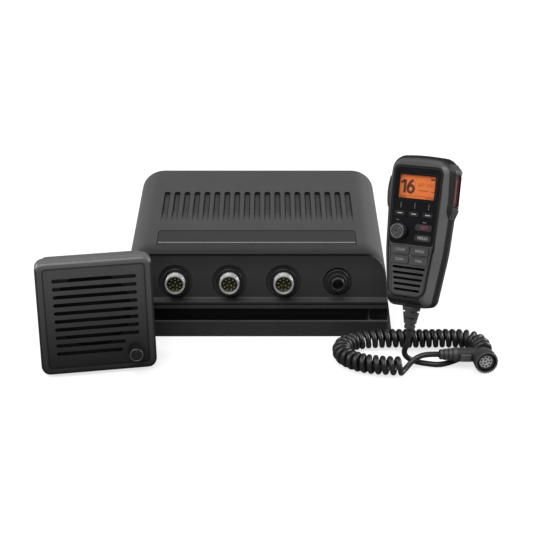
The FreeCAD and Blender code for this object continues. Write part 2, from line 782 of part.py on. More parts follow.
def accessory_sockets():
    back = -RECESS_DEPTH - PANEL_BACKING - BARREL_FLANGE
    seats = []
    shells = []
    inserts = []
    pins = []
    for x in socket_xs():
        place = on_panel(x)
        seats.append(placed(socket_seat(), place))
        shells.append(placed(socket_shell(BARREL_RADIUS, BARREL_BORE, SEAT_PROUD, BARREL_PROUD), place))
        inserts.append(placed(rod(BARREL_BORE, Vector(0, 0, back), AXIS_Z, INSERT_PROUD - back), place))
        reach = INSERT_PROUD + PIN_LENGTH
        ring = pin_ring(OUTER_PIN_COUNT, OUTER_PIN_CIRCLE, INSERT_PROUD, reach)
        ring += pin_ring(INNER_PIN_COUNT, INNER_PIN_CIRCLE, INSERT_PROUD, reach)
        pins += [placed(pin, place) for pin in ring]
    save("accessory_socket_seats", *seats)
    save("accessory_socket_barrels", *shells)
    save("accessory_socket_inserts", *inserts)
    save("accessory_socket_pins", *pins)


def network_socket():
    place = on_panel(network_x())
    back = -RECESS_DEPTH - PANEL_BACKING - BARREL_FLANGE
    floor = NETWORK_PROUD - 4.6
    shell = socket_shell(NETWORK_RADIUS, NETWORK_BORE, 0, NETWORK_PROUD)
    collar = tube(NETWORK_RECESS_RADIUS - 1.6, NETWORK_RADIUS - BARREL_SHOULDER, Vector(0, 0, -RECESS_DEPTH), AXIS_Z, RECESS_DEPTH)
    save("network_socket_barrel", placed(shell.fuse(collar).removeSplitter(), place))
    insert = rod(NETWORK_BORE, Vector(0, 0, back), AXIS_Z, floor - back)
    insert = insert.fuse(pin_ring(NETWORK_PIN_COUNT, NETWORK_PIN_CIRCLE, floor - 1, floor + 3.4))
    save("network_socket_insert", placed(insert.removeSplitter(), place))


def rear_sockets():
    start = COVER_REAR
    antenna = Vector(ANTENNA_X, start, REAR_SOCKET_Z)
    inner_y = COVER_WALL + 5
    half = ANTENNA_FLANGE / 2
    tip = ANTENNA_FLANGE_THICKNESS + ANTENNA_LENGTH
    neck = rod(ANTENNA_RADIUS - BARREL_SHOULDER, Vector(0, -inner_y, 0), AXIS_Y, inner_y)
    barrel = rod(ANTENNA_RADIUS, Vector(0, 0, 0), AXIS_Y, tip)
    flange = plate_y(rectangle(-half, half, -half, half), [2.0] * 4, 0, ANTENNA_FLANGE_THICKNESS)
    shell = flange.fuse([neck, barrel])
    floor = tip - ANTENNA_CUP_DEPTH
    cup = tube(ANTENNA_CUP_RADIUS, ANTENNA_CONTACT_RADIUS, Vector(0, floor, 0), AXIS_Y, ANTENNA_CUP_DEPTH)
    bore = rod(ANTENNA_CONTACT_BORE, Vector(0, floor - 4, 0), AXIS_Y, ANTENNA_CUP_DEPTH + 4)
    short = rod(ANTENNA_CONTACT_RADIUS, Vector(0, tip - 1, 0), AXIS_Y, 1)
    tools = [cup, bore, short]
    for u in (-1, 1):
        for v in (-1, 1):
            tools.append(rod(1.6, Vector(u * 9.1, 0, v * 9.1), AXIS_Y, ANTENNA_FLANGE_THICKNESS))
    shell = shell.cut(tools).removeSplitter()
    save("antenna_socket", moved(shell, antenna.x, antenna.y, antenna.z))
    rim = rod(POWER_FLANGE_RADIUS, Vector(0, 0, 0), AXIS_Y, 2)
    body = rod(POWER_RADIUS, Vector(0, -inner_y, 0), AXIS_Y, inner_y + POWER_LENGTH)
    hollow = rod(POWER_BORE, Vector(0, 0, 0), AXIS_Y, POWER_LENGTH)
    power = rim.fuse(body).cut(hollow)
    for side in (-1, 1):
        pin = rod(POWER_PIN_RADIUS, Vector(side * POWER_PIN_SPACING / 2, -1, 0), AXIS_Y, POWER_LENGTH - 1)
        power = power.fuse(pin)
    save("power_socket", moved(power.removeSplitter(), POWER_X, start, REAR_SOCKET_Z))


# ---------------------------------------------------------------- transceiver inside
def transceiver_inside():
    half = POST_X + HEAT_SINK_MARGIN
    low = POST_FRONT_Y - HEAT_SINK_MARGIN
    high = POST_REAR_Y + HEAT_SINK_MARGIN
    plate_top = HEAT_SINK_Z + HEAT_SINK_PLATE
    sink = block(-half, half, low, high, HEAT_SINK_Z, plate_top)
    for i in range(FIN_COUNT):
        x = (i - (FIN_COUNT - 1) / 2) * FIN_PITCH
        fin = block(x - FIN_THICKNESS / 2, x + FIN_THICKNESS / 2, low + 6, high - 6, plate_top, plate_top + FIN_HEIGHT)
        sink = sink.fuse(fin)
    for x, y in post_places():
        sink = sink.fuse(rod(POST_RADIUS, Vector(x, y, plate_top), AXIS_Z, STANDOFF_HEIGHT))
    save("heat_sink", sink.removeSplitter())
    board_z = plate_top + STANDOFF_HEIGHT
    board = block(-half, half, low, high, board_z, board_z + BOARD_THICKNESS)
    save("main_board", board)
    shield_z = board_z + BOARD_THICKNESS
    can = block(0, SHIELD_LENGTH, 0, SHIELD_DEPTH, 0, SHIELD_HEIGHT)
    room = block(SHIELD_WALL, SHIELD_LENGTH - SHIELD_WALL, SHIELD_WALL, SHIELD_DEPTH - SHIELD_WALL, 0,
                 SHIELD_HEIGHT - SHIELD_WALL)
    save("radio_shield_can", moved(can.cut(room), -SHIELD_LENGTH, 0, shield_z))


def transceiver():
    save("base_tray", base_tray())
    save("cover_gasket", cover_gasket())
    save("top_cover", top_cover())
    save("cover_screws", *cover_screws())
    accessory_sockets()
    network_socket()
    rear_sockets()
    transceiver_inside()


# ---------------------------------------------------------------- loudspeaker
def speaker_outline(shrink):
    half = SPEAKER_WIDTH / 2
    return inset(rectangle(-half, half, 0, SPEAKER_HEIGHT), [SPEAKER_CORNER] * 4, shrink)


def speaker_plate(shrink, y0, y1, corner=None):
    points, radii = speaker_outline(shrink)
    if corner is not None:
        radii = [corner] * 4
    return plate_y(points, radii, y0, y1)


def column_places():
    x = SPEAKER_WIDTH / 2 - COLUMN_INSET
    return [(side * x, z) for side in (-1, 1) for z in (COLUMN_INSET, SPEAKER_HEIGHT - COLUMN_INSET)]


def baffle_back():
    return BAFFLE_FRONT + BAFFLE_THICKNESS


def speaker_bezel():
    rings = []
    steps = 4
    for i in range(steps + 1):
        angle = math.pi / 2 * i / steps
        shrink = BEZEL_ROUND * (1 - math.sin(angle))
        y = BEZEL_ROUND * (1 - math.cos(angle))
        points, radii = speaker_outline(shrink)
        rings.append(loop(points, radii, flat_xz(y)))
    points, radii = speaker_outline(0)
    rings.append(loop(points, radii, flat_xz(BEZEL_DEPTH)))
    bezel = Part.makeLoft(rings, True, True)
    tools = [
        speaker_plate(BEZEL_BORDER, 0, BAFFLE_FRONT, GRILLE_CORNER),
        speaker_plate(BEZEL_WALL, baffle_back(), BEZEL_DEPTH),
        rod(DRIVER_OPENING, Vector(DRIVER_X, BAFFLE_FRONT, DRIVER_Z), AXIS_Y, BAFFLE_THICKNESS),
        rod(VOLUME_SHAFT + FIT_GAP, Vector(VOLUME_X, BAFFLE_FRONT, VOLUME_Z), AXIS_Y, BAFFLE_THICKNESS),
    ]
    bezel = bezel.cut(tools)
    for x, z in column_places():
        boss = rod(COLUMN_RADIUS, Vector(x, baffle_back(), z), AXIS_Y, BEZEL_DEPTH - HOUSING_FLANGE - baffle_back())
        bezel = bezel.fuse(boss)
    holes = [rod(SCREW_RADIUS, Vector(x, baffle_back(), z), AXIS_Y, BEZEL_DEPTH) for x, z in column_places()]
    return bezel.cut(holes).removeSplitter()


def speaker_grille():
    front = GRILLE_SET_BACK
    back = front + GRILLE_THICKNESS
    shrink = BEZEL_BORDER + TRIM_GAP
    plate = speaker_plate(shrink, front, BAFFLE_FRONT, GRILLE_CORNER - TRIM_GAP)
    hollow = speaker_plate(shrink + 2, back, BAFFLE_FRONT, 2.0)
    plate = plate.cut(hollow)
    collar = rod(VOLUME_COLLAR, Vector(VOLUME_X, front - VOLUME_COLLAR_HEIGHT, VOLUME_Z), AXIS_Y, VOLUME_COLLAR_HEIGHT)
    plate = plate.fuse(collar)
    tools = [rod(VOLUME_SHAFT + FIT_GAP, Vector(VOLUME_X, -2, VOLUME_Z), AXIS_Y, BAFFLE_FRONT + 2)]
    short = len(SHORT_SLOT_ENDS)
    for i in range(SLOT_COUNT):
        z = SLOT_TOP_Z - i * SLOT_PITCH
        end = SLOT_HALF_LENGTH
        if i >= SLOT_COUNT - short:
            end = SHORT_SLOT_ENDS[i - (SLOT_COUNT - short)]
        points = rectangle(-SLOT_HALF_LENGTH, end, z - SLOT_HEIGHT / 2, z + SLOT_HEIGHT / 2)
        tools.append(plate_y(points, [SLOT_HEIGHT / 2 - 0.01] * 4, front, back))
    return plate.cut(tools).removeSplitter()


def speaker_housing():
    back = BEZEL_DEPTH + HOUSING_DEPTH
    cup = speaker_plate(HOUSING_INSET, BEZEL_DEPTH - HOUSING_FLANGE, back, SPEAKER_CORNER - 2)
    flange = speaker_plate(BEZEL_WALL + TRIM_GAP, BEZEL_DEPTH - HOUSING_FLANGE, BEZEL_DEPTH)
    room = speaker_plate(HOUSING_INSET + HOUSING_WALL, BEZEL_DEPTH - HOUSING_FLANGE, back - HOUSING_WALL, 4.0)
    shell = cup.fuse(flange).cut(room)
    middle = SPEAKER_HEIGHT / 2
    adds = []
    tools = []
    for x, z in column_places():
        adds.append(rod(COLUMN_RADIUS, Vector(x, BEZEL_DEPTH - HOUSING_FLANGE, z), AXIS_Y, back - BEZEL_DEPTH))
        tools.append(rod(SCREW_RADIUS + TRIM_GAP, Vector(x, 0, z), AXIS_Y, back))
        tools.append(rod(SCREW_HEAD_RADIUS + TRIM_GAP, Vector(x, back - SCREW_HEAD_HEIGHT, z), AXIS_Y, SCREW_HEAD_HEIGHT))
    for u in (-1, 1):
        for v in (-1, 1):
            x = u * STUD_SPREAD
            z = middle + v * STUD_SPREAD
            depth = STUD_HOLE_DEPTH
            adds.append(rod(STUD_BOSS_RADIUS, Vector(x, back - depth - 2, z), AXIS_Y, depth))
            tools.append(rod(STUD_HOLE_RADIUS, Vector(x, back - depth, z), AXIS_Y, depth))
    tools.append(rod(GLAND_RADIUS - 1.5, Vector(0, back - HOUSING_WALL, GLAND_Z), AXIS_Y, HOUSING_WALL))
    return shell.fuse(adds).cut(tools).removeSplitter()


def speaker_screws():
    back = BEZEL_DEPTH + HOUSING_DEPTH
    screws = []
    for x, z in column_places():
        head = rod(SCREW_HEAD_RADIUS, Vector(x, back - SCREW_HEAD_HEIGHT, z), AXIS_Y, SCREW_HEAD_HEIGHT - FIT_GAP)
        start = baffle_back() + 1
        shank = rod(SCREW_RADIUS, Vector(x, start, z), AXIS_Y, back - SCREW_HEAD_HEIGHT - start)
        screws.append(head.fuse(shank))
    return screws


def driver_parts():
    flange = DRIVER_FLANGE
    deep = flange + BASKET_DEPTH
    frame = turned([
        (DRIVER_OPENING, 0),
        (DRIVER_RADIUS, 0),
        (DRIVER_RADIUS, flange),
        (DRIVER_OPENING + 1.6, flange),
        (MAGNET_RADIUS + 1.6, deep),
        (8.0, deep),
        (8.0, deep - 1.2),
        (MAGNET_RADIUS, deep - 1.2),
        (DRIVER_OPENING, flange),
    ], [0] * 9)
    cone = turned([
        (DRIVER_OPENING - 0.2, 0.2),
        (DRIVER_OPENING - 0.2, 1.2),
        (DRIVER_OPENING - 4.0, 1.2),
        (7.6, deep - 3.2),
        (0.0, deep - 4.4),
        (0.0, deep - 5.4),
        (7.6, deep - 4.4),
        (DRIVER_OPENING - 4.4, 0.2),
    ], [0] * 8)
    magnet = turned([(0, 0), (MAGNET_RADIUS, 0), (MAGNET_RADIUS, MAGNET_DEPTH), (0, MAGNET_DEPTH)], [0, 0, 1.0, 0])
    magnet = moved(magnet, 0, 0, deep)
    seat = Placement(Vector(DRIVER_X, baffle_back(), DRIVER_Z), Rotation(AXIS_X, -90))
    return [placed(piece, seat) for piece in (frame, cone, magnet)]


def volume_knob():
    low = GRILLE_SET_BACK - VOLUME_COLLAR_HEIGHT - FIT_GAP
    profile = [
        (VOLUME_SHAFT + SHAFT_GAP, 0),
        (VOLUME_RADIUS, 0),
        (VOLUME_RADIUS - VOLUME_TAPER, VOLUME_LENGTH),
        (0, VOLUME_LENGTH),
        (0, VOLUME_SHAFT_REACH + 1),
        (VOLUME_SHAFT + SHAFT_GAP, VOLUME_SHAFT_REACH + 1),
    ]
    knob = turned(profile, [0, 0.4, 1.2, 0, 0, 0])
    mark = block(-0.5, 0.5, VOLUME_RADIUS - 2.8, VOLUME_RADIUS, VOLUME_LENGTH - 0.5, VOLUME_LENGTH)
    return placed(knob.cut(mark), Placement(Vector(VOLUME_X, low, VOLUME_Z), Rotation(AXIS_X, 90)))


def volume_control():
    back = baffle_back()
    body = rod(POT_RADIUS, Vector(VOLUME_X, back, VOLUME_Z), AXIS_Y, POT_DEPTH)
    reach = back - GRILLE_SET_BACK + VOLUME_COLLAR_HEIGHT + VOLUME_SHAFT_REACH
    shaft = rod(VOLUME_SHAFT, Vector(VOLUME_X, back - reach, VOLUME_Z), AXIS_Y, reach)
    return body.fuse(shaft).removeSplitter()


def speaker():
    place = speaker_place()
    save("speaker_bezel", placed(speaker_bezel(), place))
    save("speaker_grille", placed(speaker_grille(), place))
    save("speaker_housing", placed(speaker_housing(), place))
    save("speaker_screws", *[placed(screw, place) for screw in speaker_screws()])
    frame, cone, magnet = [placed(piece, place) for piece in driver_parts()]
    save("driver_frame", frame)
    save("driver_cone", cone)
    save("driver_magnet", magnet)
    save("volume_knob", placed(volume_knob(), place))
    save("volume_control", placed(volume_control(), place))
    inner_back = BEZEL_DEPTH + HOUSING_DEPTH - HOUSING_WALL
    half = AMPLIFIER_SIZE / 2
    middle = SPEAKER_HEIGHT / 2 + 10
    board = block(-half, half, inner_back - BOARD_THICKNESS, inner_back, middle - half, middle + half)
    save("amplifier_board", placed(board, place))
    gland_start = inner_back + HOUSING_WALL
    gland = rod(GLAND_RADIUS, Vector(0, gland_start, GLAND_Z), AXIS_Y, GLAND_LENGTH)
    gland = gland.fuse(rod(GLAND_RADIUS - 1.5, Vector(0, inner_back, GLAND_Z), AXIS_Y, HOUSING_WALL))
    gland = gland.cut(rod(GLAND_BORE, Vector(0, inner_back, GLAND_Z), AXIS_Y, HOUSING_WALL + GLAND_LENGTH))
    save("speaker_cable_gland", placed(gland.removeSplitter(), place))


# ---------------------------------------------------------------- handset shells
def handset_section(shrink, y):
    points, radii = symmetric(HANDSET_OUTLINE)
    points, radii = inset(points, radii, shrink)
    return loop(points, radii, flat_xz(y))


def handset_form(wall):
    """The handset's crowned body, or its inside when a wall is taken off."""
    front = HANDSET_FRONT + wall
    rear = HANDSET_REAR - wall
    sections = [
        (FRONT_BEVEL + wall * 0.6, front),
        (wall, HANDSET_FRONT + FRONT_BEVEL_DEPTH),
        (wall, HANDSET_REAR - REAR_BEVEL_DEPTH),
        (REAR_BEVEL + wall * 0.6, rear),
    ]
    return Part.makeLoft([handset_section(shrink, y) for shrink, y in sections], True, True)


def key_outline(x, z, size, grow):
    width, height, corner = size
    points = rectangle(x - width / 2, x + width / 2, z - height / 2, z + height / 2)
    return inset(points, [corner] * 4, -grow)


def key_opening(x, z, size):
    points, radii = key_outline(x, z, size, FIT_GAP)
    return plate_y(points, radii, HANDSET_FRONT - 1, HANDSET_FRONT + HANDSET_WALL + 0.1)


def key_cap(x, z, size):
    points, radii = key_outline(x, z, size, 0)
    wall_back = HANDSET_FRONT + HANDSET_WALL + FIT_GAP
    cap = plate_y(points, radii, HANDSET_FRONT - KEY_PROUD, wall_back)
    points, radii = key_outline(x, z, size, KEY_FLANGE)
    return cap.fuse(plate_y(points, radii, wall_back, wall_back + KEY_FLANGE_THICKNESS)).removeSplitter()


def front_keys():
    """Name, x, z and size of every key on the front face."""
    keys = []
    for name, x in zip(("left", "centre", "right"), SOFT_KEY_X):
        keys.append(("soft_key_" + name, x, SOFT_KEY_Z, SOFT_KEY_SIZE))
    for name, z in zip(("priority_key", "power_level_key"), SIDE_KEY_Z):
        keys.append((name, SIDE_KEY_X, z, SIDE_KEY_SIZE))
    for row, z in zip(("upper", "lower"), PAD_KEY_Z):
        for side, x in (("left", -PAD_KEY_X), ("right", PAD_KEY_X)):
            keys.append(("pad_key_" + row + "_" + side, x, z, PAD_KEY_SIZE))
    return keys


def window_outline(grow):
    half = WINDOW_WIDTH / 2
    low = DISPLAY_Z - WINDOW_HEIGHT / 2
    points = rectangle(DISPLAY_X - half, DISPLAY_X + half, low, low + WINDOW_HEIGHT)
    return inset(points, [0.6] * 4, -grow)


def voice_slots():
    slots = []
    for i in range(VOICE_SLOT_COUNT):
        z = VOICE_SLOT_TOP - i * VOICE_SLOT_PITCH
        half = VOICE_SLOT_HALF - i * VOICE_SLOT_STEP
        points = rectangle(-half, half, z - VOICE_SLOT_HEIGHT / 2, z + VOICE_SLOT_HEIGHT / 2)
        slots.append(plate_y(points, [VOICE_SLOT_HEIGHT / 2 - 0.01] * 4, HANDSET_FRONT - 1, HANDSET_FRONT + HANDSET_WALL + 0.1))
    return slots


def talk_key_block(grow, x0, x1):
    points = rectangle(TALK_KEY_Y[0], TALK_KEY_Y[1], TALK_KEY_Z[0], TALK_KEY_Z[1])
    points, radii = inset(points, [TALK_KEY_CORNER] * 4, -grow)
    return prism(points, radii, flat_yz(x0), Vector(x1 - x0, 0, 0))


def handset_half_width():
    return HANDSET_OUTLINE[2][0]


def distress_block(grow, x0, x1):
    y0 = DISTRESS_Y - DISTRESS_WIDTH / 2
    z0 = DISTRESS_Z - DISTRESS_LENGTH / 2
    points = rectangle(y0, y0 + DISTRESS_WIDTH, z0, z0 + DISTRESS_LENGTH)
    points, radii = inset(points, [1.5] * 4, -grow)
    return prism(points, radii, flat_yz(x0), Vector(x1 - x0, 0, 0))


def hinge_axis():
    return handset_half_width() + HINGE_OUT, DISTRESS_Y + DISTRESS_WIDTH / 2 + HINGE_RADIUS * 0.6


def side_openings():
    """What the side controls cut out of the two shells."""
    half = handset_half_width()
    floor = half - DISTRESS_RECESS
    x, y = hinge_axis()
    z0 = DISTRESS_Z - DISTRESS_LENGTH / 2
    return [
        talk_key_block(FIT_GAP, -half - 4, -half + HANDSET_WALL + 1),
        distress_block(FIT_GAP, floor, half + 4),
        rod(DISTRESS_BUTTON + FIT_GAP, Vector(floor - DISTRESS_PAD, DISTRESS_Y, DISTRESS_Z), AXIS_X, DISTRESS_PAD + 1),
        rod(HINGE_RADIUS + FIT_GAP, Vector(x, y, z0), AXIS_Z, DISTRESS_LENGTH),
    ]


def distress_pad():
    floor = handset_half_width() - DISTRESS_RECESS
    return distress_block(1.0, floor - DISTRESS_PAD, floor)


def hinge_ears():
    x, y = hinge_axis()
    z0 = DISTRESS_Z - DISTRESS_LENGTH / 2
    low = rod(HINGE_RADIUS, Vector(x, y, z0 - HINGE_EAR), AXIS_Z, HINGE_EAR)
    high = rod(HINGE_RADIUS, Vector(x, y, z0 + DISTRESS_LENGTH), AXIS_Z, HINGE_EAR)
    return [low, high]


def half_space(front):
    y0, y1 = (-60, HANDSET_PARTING) if front else (HANDSET_PARTING, 60)
    return block(-60, 60, y0, y1, -20, 160)


def handset_shells():
    form = handset_form(0)
    shell = form.cut(handset_form(HANDSET_WALL))
    shell = shell.fuse(distress_pad().common(form))
    boss_start = HANDSET_FRONT + FRONT_BEVEL_DEPTH + 2
    for x, z in REAR_SCREWS:
        for side in (-1, 1):
            boss = rod(REAR_BOSS_RADIUS, Vector(side * x, boss_start, z), AXIS_Y, HANDSET_REAR - boss_start)
            shell = shell.fuse(boss.common(handset_form(HANDSET_WALL / 2)))
    shell = shell.cut(side_openings())
    tail_hole = rod(BOOT_CORE_RADIUS + TRIM_GAP, Vector(0, 0, -1), AXIS_Z, HANDSET_WALL + 2)
    shell = shell.cut(tail_hole)
    front = shell.common(half_space(True))
    rear = shell.common(half_space(False))
    save_front(front)
    save_rear(rear)


def save_front(front):
    points, radii = symmetric(RIM_OUTLINE)
    top = HANDSET_FRONT - RIM_HEIGHT
    rim = plate_y(points, radii, top, HANDSET_FRONT)
    points, radii = inset(points, radii, RIM_WIDTH)
    rim = rim.cut(plate_y(points, radii, top, HANDSET_FRONT))
    front = front.fuse(rim)
    points, radii = symmetric(PANEL_OUTLINE)
    recess = plate_y(points, radii, HANDSET_FRONT - 2, HANDSET_FRONT + PANEL_THICKNESS)
    points, radii = window_outline(0)
    window = plate_y(points, radii, HANDSET_FRONT, HANDSET_FRONT + HANDSET_WALL + 0.1)
    shaft = rod(KNOB_SHAFT + FIT_GAP, Vector(KNOB_X, HANDSET_FRONT - 1, KNOB_Z), AXIS_Y, HANDSET_WALL + 2)
    tools = [recess, window, shaft] + voice_slots()
    tools += [key_opening(x, z, size) for name, x, z, size in front_keys()]
    for x, z in REAR_SCREWS:
        for side in (-1, 1):
            depth = HANDSET_PARTING - (HANDSET_FRONT + FRONT_BEVEL_DEPTH + 2)
            tools.append(rod(REAR_SCREW_RADIUS, Vector(side * x, HANDSET_PARTING - depth, z), AXIS_Y, depth))
    tools.append(rod(0.8, Vector(0, HANDSET_FRONT - 1, MICROPHONE_Z), AXIS_Y, HANDSET_WALL + 6))
    save("handset_front_shell", placed(front.cut(tools).removeSplitter(), handset_place()))


def save_rear(rear):
    x, y = hinge_axis()
    for ear in hinge_ears():
        rear = rear.fuse(ear)
    start = DISTRESS_Z - DISTRESS_LENGTH / 2 - HINGE_EAR
    tools = [rod(HINGE_PIN + SHAFT_GAP, Vector(x, y, start), AXIS_Z, DISTRESS_LENGTH + HINGE_EAR * 2)]
    for x, z in REAR_SCREWS:
        for side in (-1, 1):
            tools.append(rod(REAR_SCREW_RADIUS + TRIM_GAP, Vector(side * x, 0, z), AXIS_Y, HANDSET_REAR + 1))
            tools.append(rod(REAR_HEAD_RADIUS + TRIM_GAP, Vector(side * x, HANDSET_REAR - REAR_HEAD_DEPTH, z), AXIS_Y, 4))
    save("handset_rear_shell", placed(rear.cut(tools).removeSplitter(), handset_place()))


# ---------------------------------------------------------------- handset front
def handset_front_pieces():
    place = handset_place()
    points, radii = symmetric(PANEL_OUTLINE)
    points, radii = inset(points, radii, TRIM_GAP)
    panel = plate_y(points, radii, HANDSET_FRONT, HANDSET_FRONT + PANEL_THICKNESS)
    points, radii = window_outline(LENS_MARGIN + TRIM_GAP)
    tools = [plate_y(points, radii, HANDSET_FRONT - 1, HANDSET_FRONT + PANEL_THICKNESS + 1)]
    tools.append(rod(KNOB_SHAFT + FIT_GAP, Vector(KNOB_X, HANDSET_FRONT - 1, KNOB_Z), AXIS_Y, 4))
    tools += [key_opening(x, z, size) for name, x, z, size in front_keys() if z > PANEL_OUTLINE[0][1]]
    save("front_panel", placed(panel.cut(tools), place))
    points, radii = window_outline(LENS_MARGIN)
    lens_back = HANDSET_FRONT + PANEL_THICKNESS
    save("display_lens", placed(plate_y(points, radii, lens_back - LENS_THICKNESS, lens_back), place))
    points, radii = window_outline(MODULE_MARGIN)
    module_front = HANDSET_FRONT + HANDSET_WALL
    save("display_module", placed(plate_y(points, radii, module_front, module_front + MODULE_DEPTH), place))
    for name, x, z, size in front_keys():
        save(name, placed(key_cap(x, z, size), place))


def board_front():
    return HANDSET_FRONT + HANDSET_WALL + MODULE_DEPTH


def selector_pieces():
    place = handset_place()
    half = ENCODER_SIZE / 2
    wall_back = HANDSET_FRONT + HANDSET_WALL
    body = block(KNOB_X - half, KNOB_X + half, wall_back + FIT_GAP, board_front(), KNOB_Z - half, KNOB_Z + half)
    body = body.cut(rod(KNOB_SHAFT + SHAFT_GAP, Vector(KNOB_X, wall_back, KNOB_Z), AXIS_Y, MODULE_DEPTH - 0.8))
    save("selector_encoder", placed(body, place))
    knob_back = HANDSET_FRONT - KNOB_LIFT
    shaft_back = board_front() - 0.8 - 1.2
    shaft_front = knob_back - KNOB_HEIGHT + 1.6
    shaft = rod(KNOB_SHAFT, Vector(KNOB_X, shaft_front, KNOB_Z), AXIS_Y, shaft_back - shaft_front)
    save("selector_shaft", placed(shaft, place))
    profile = [
        (KNOB_SHAFT + SHAFT_GAP, 0),
        (KNOB_RADIUS, 0),
        (KNOB_RADIUS - 0.5, KNOB_HEIGHT),
        (0, KNOB_HEIGHT - 0.5),
        (0, KNOB_HEIGHT - 1.2),
        (KNOB_SHAFT + SHAFT_GAP, KNOB_HEIGHT - 1.2),
    ]
    knob = turned(profile, [0, 0.4, 0.8, 0, 0, 0])
    flutes = []
    for i in range(KNOB_FLUTES):
        angle = 2 * math.pi * i / KNOB_FLUTES
        centre = Vector(KNOB_RADIUS * math.cos(angle), KNOB_RADIUS * math.sin(angle), 0.8)
        flutes.append(rod(KNOB_FLUTE_RADIUS, centre, AXIS_Z, KNOB_HEIGHT))
    knob = placed(knob.cut(flutes), Placement(Vector(KNOB_X, knob_back, KNOB_Z), Rotation(AXIS_X, 90)))
    save("selector_knob", placed(knob, place))


def side_controls():
    place = handset_place()
    half = handset_half_width()
    inner = -half + TALK_KEY_SEAT
    key = talk_key_block(0, -half - TALK_KEY_PROUD, inner)
    crown = rod(60, Vector(-half - TALK_KEY_PROUD + 60, -30, (TALK_KEY_Z[0] + TALK_KEY_Z[1]) / 2), AXIS_Y, 60)
    key = key.common(crown)
    key = key.fuse(talk_key_block(TALK_KEY_FLANGE, inner, inner + 1.2))
    save("talk_key", placed(key.removeSplitter(), place))
    floor = half - DISTRESS_RECESS
    lid = distress_block(0, floor + FIT_GAP, half + DISTRESS_PROUD)
    x, y = hinge_axis()
    z0 = DISTRESS_Z - DISTRESS_LENGTH / 2
    barrel = rod(HINGE_RADIUS, Vector(x, y, z0 + FIT_GAP), AXIS_Z, DISTRESS_LENGTH - FIT_GAP * 2)
    pin = rod(HINGE_PIN, Vector(x, y, z0 - HINGE_EAR + 0.2), AXIS_Z, DISTRESS_LENGTH + HINGE_EAR * 2 - 0.4)
    save("distress_cover", placed(lid.fuse([barrel, pin]).removeSplitter(), place))
    button = rod(DISTRESS_BUTTON, Vector(floor - DISTRESS_PAD - FIT_GAP, DISTRESS_Y, DISTRESS_Z), AXIS_X, DISTRESS_PAD)
    flange = rod(DISTRESS_BUTTON + 1.2, Vector(floor - DISTRESS_PAD - FIT_GAP - 1, DISTRESS_Y, DISTRESS_Z), AXIS_X, 1)
    save("distress_button", placed(button.fuse(flange).removeSplitter(), place))


# ---------------------------------------------------------------- handset inside and back
def handset_inside():
    place = handset_place()
    z0, z1 = HANDSET_BOARD_Z
    half = HANDSET_BOARD_HALF
    front = board_front()
    save("handset_board", placed(block(-half, half, front, front + BOARD_THICKNESS, z0, z1), place))
    low = HANDSET_BOARD_Z[0]
    high = DISPLAY_Z - WINDOW_HEIGHT / 2 - MODULE_MARGIN - 1
    membrane = block(-half, half, front - MEMBRANE_THICKNESS, front, low, high)
    clear = ENCODER_SIZE / 2 + FIT_GAP
    room = block(KNOB_X - clear, KNOB_X + clear, front - 3, front, KNOB_Z - clear, KNOB_Z + clear)
    save("keypad_membrane", placed(membrane.cut(room), place))
    wall_back = HANDSET_FRONT + HANDSET_WALL
    profile = [
        (0, 0.8),
        (VOICE_DRIVER_RADIUS - 2, 0.8),
        (VOICE_DRIVER_RADIUS - 2, 0),
        (VOICE_DRIVER_RADIUS, 0),
        (VOICE_DRIVER_RADIUS, 1.6),
        (8.0, VOICE_DRIVER_DEPTH),
        (0, VOICE_DRIVER_DEPTH),
    ]
    driver = turned(profile, [0] * 7)
    seat = Placement(Vector(0, wall_back, VOICE_DRIVER_Z), Rotation(AXIS_X, -90))
    save("voice_driver", placed(placed(driver, seat), place))
    capsule = rod(MICROPHONE_RADIUS, Vector(0, wall_back + MICROPHONE_BACK, MICROPHONE_Z), AXIS_Y, MICROPHONE_DEPTH)
    save("microphone", placed(capsule, place))
    screws = []
    for x, z in REAR_SCREWS:
        for side in (-1, 1):
            head_front = HANDSET_REAR - REAR_HEAD_DEPTH
            head = rod(REAR_HEAD_RADIUS, Vector(side * x, head_front, z), AXIS_Y, REAR_HEAD_DEPTH - FIT_GAP)
            shank = rod(REAR_SCREW_RADIUS, Vector(side * x, HANDSET_PARTING - 5, z), AXIS_Y, head_front - HANDSET_PARTING + 5)
            screws.append(placed(head.fuse(shank), place))
    save("handset_screws", *screws)


def hang_stud():
    rear = HANDSET_REAR
    stem = rod(HANG_STEM_RADIUS, Vector(0, rear, HANG_STUD_Z), AXIS_Y, HANG_STEM_LENGTH)
    profile = [
        (0, 0),
        (HANG_HEAD_RADIUS - 0.6, 0),
        (HANG_HEAD_RADIUS, 0.8),
        (HANG_HEAD_RADIUS - 1.6, HANG_HEAD_THICKNESS),
        (0, HANG_HEAD_THICKNESS),
    ]
    head = turned(profile, [0, 0, 0.5, 1.0, 0])
    seat = Placement(Vector(0, rear + HANG_STEM_LENGTH, HANG_STUD_Z), Rotation(AXIS_X, -90))
    save("hang_stud", placed(stem.fuse(placed(head, seat)).removeSplitter(), handset_place()))


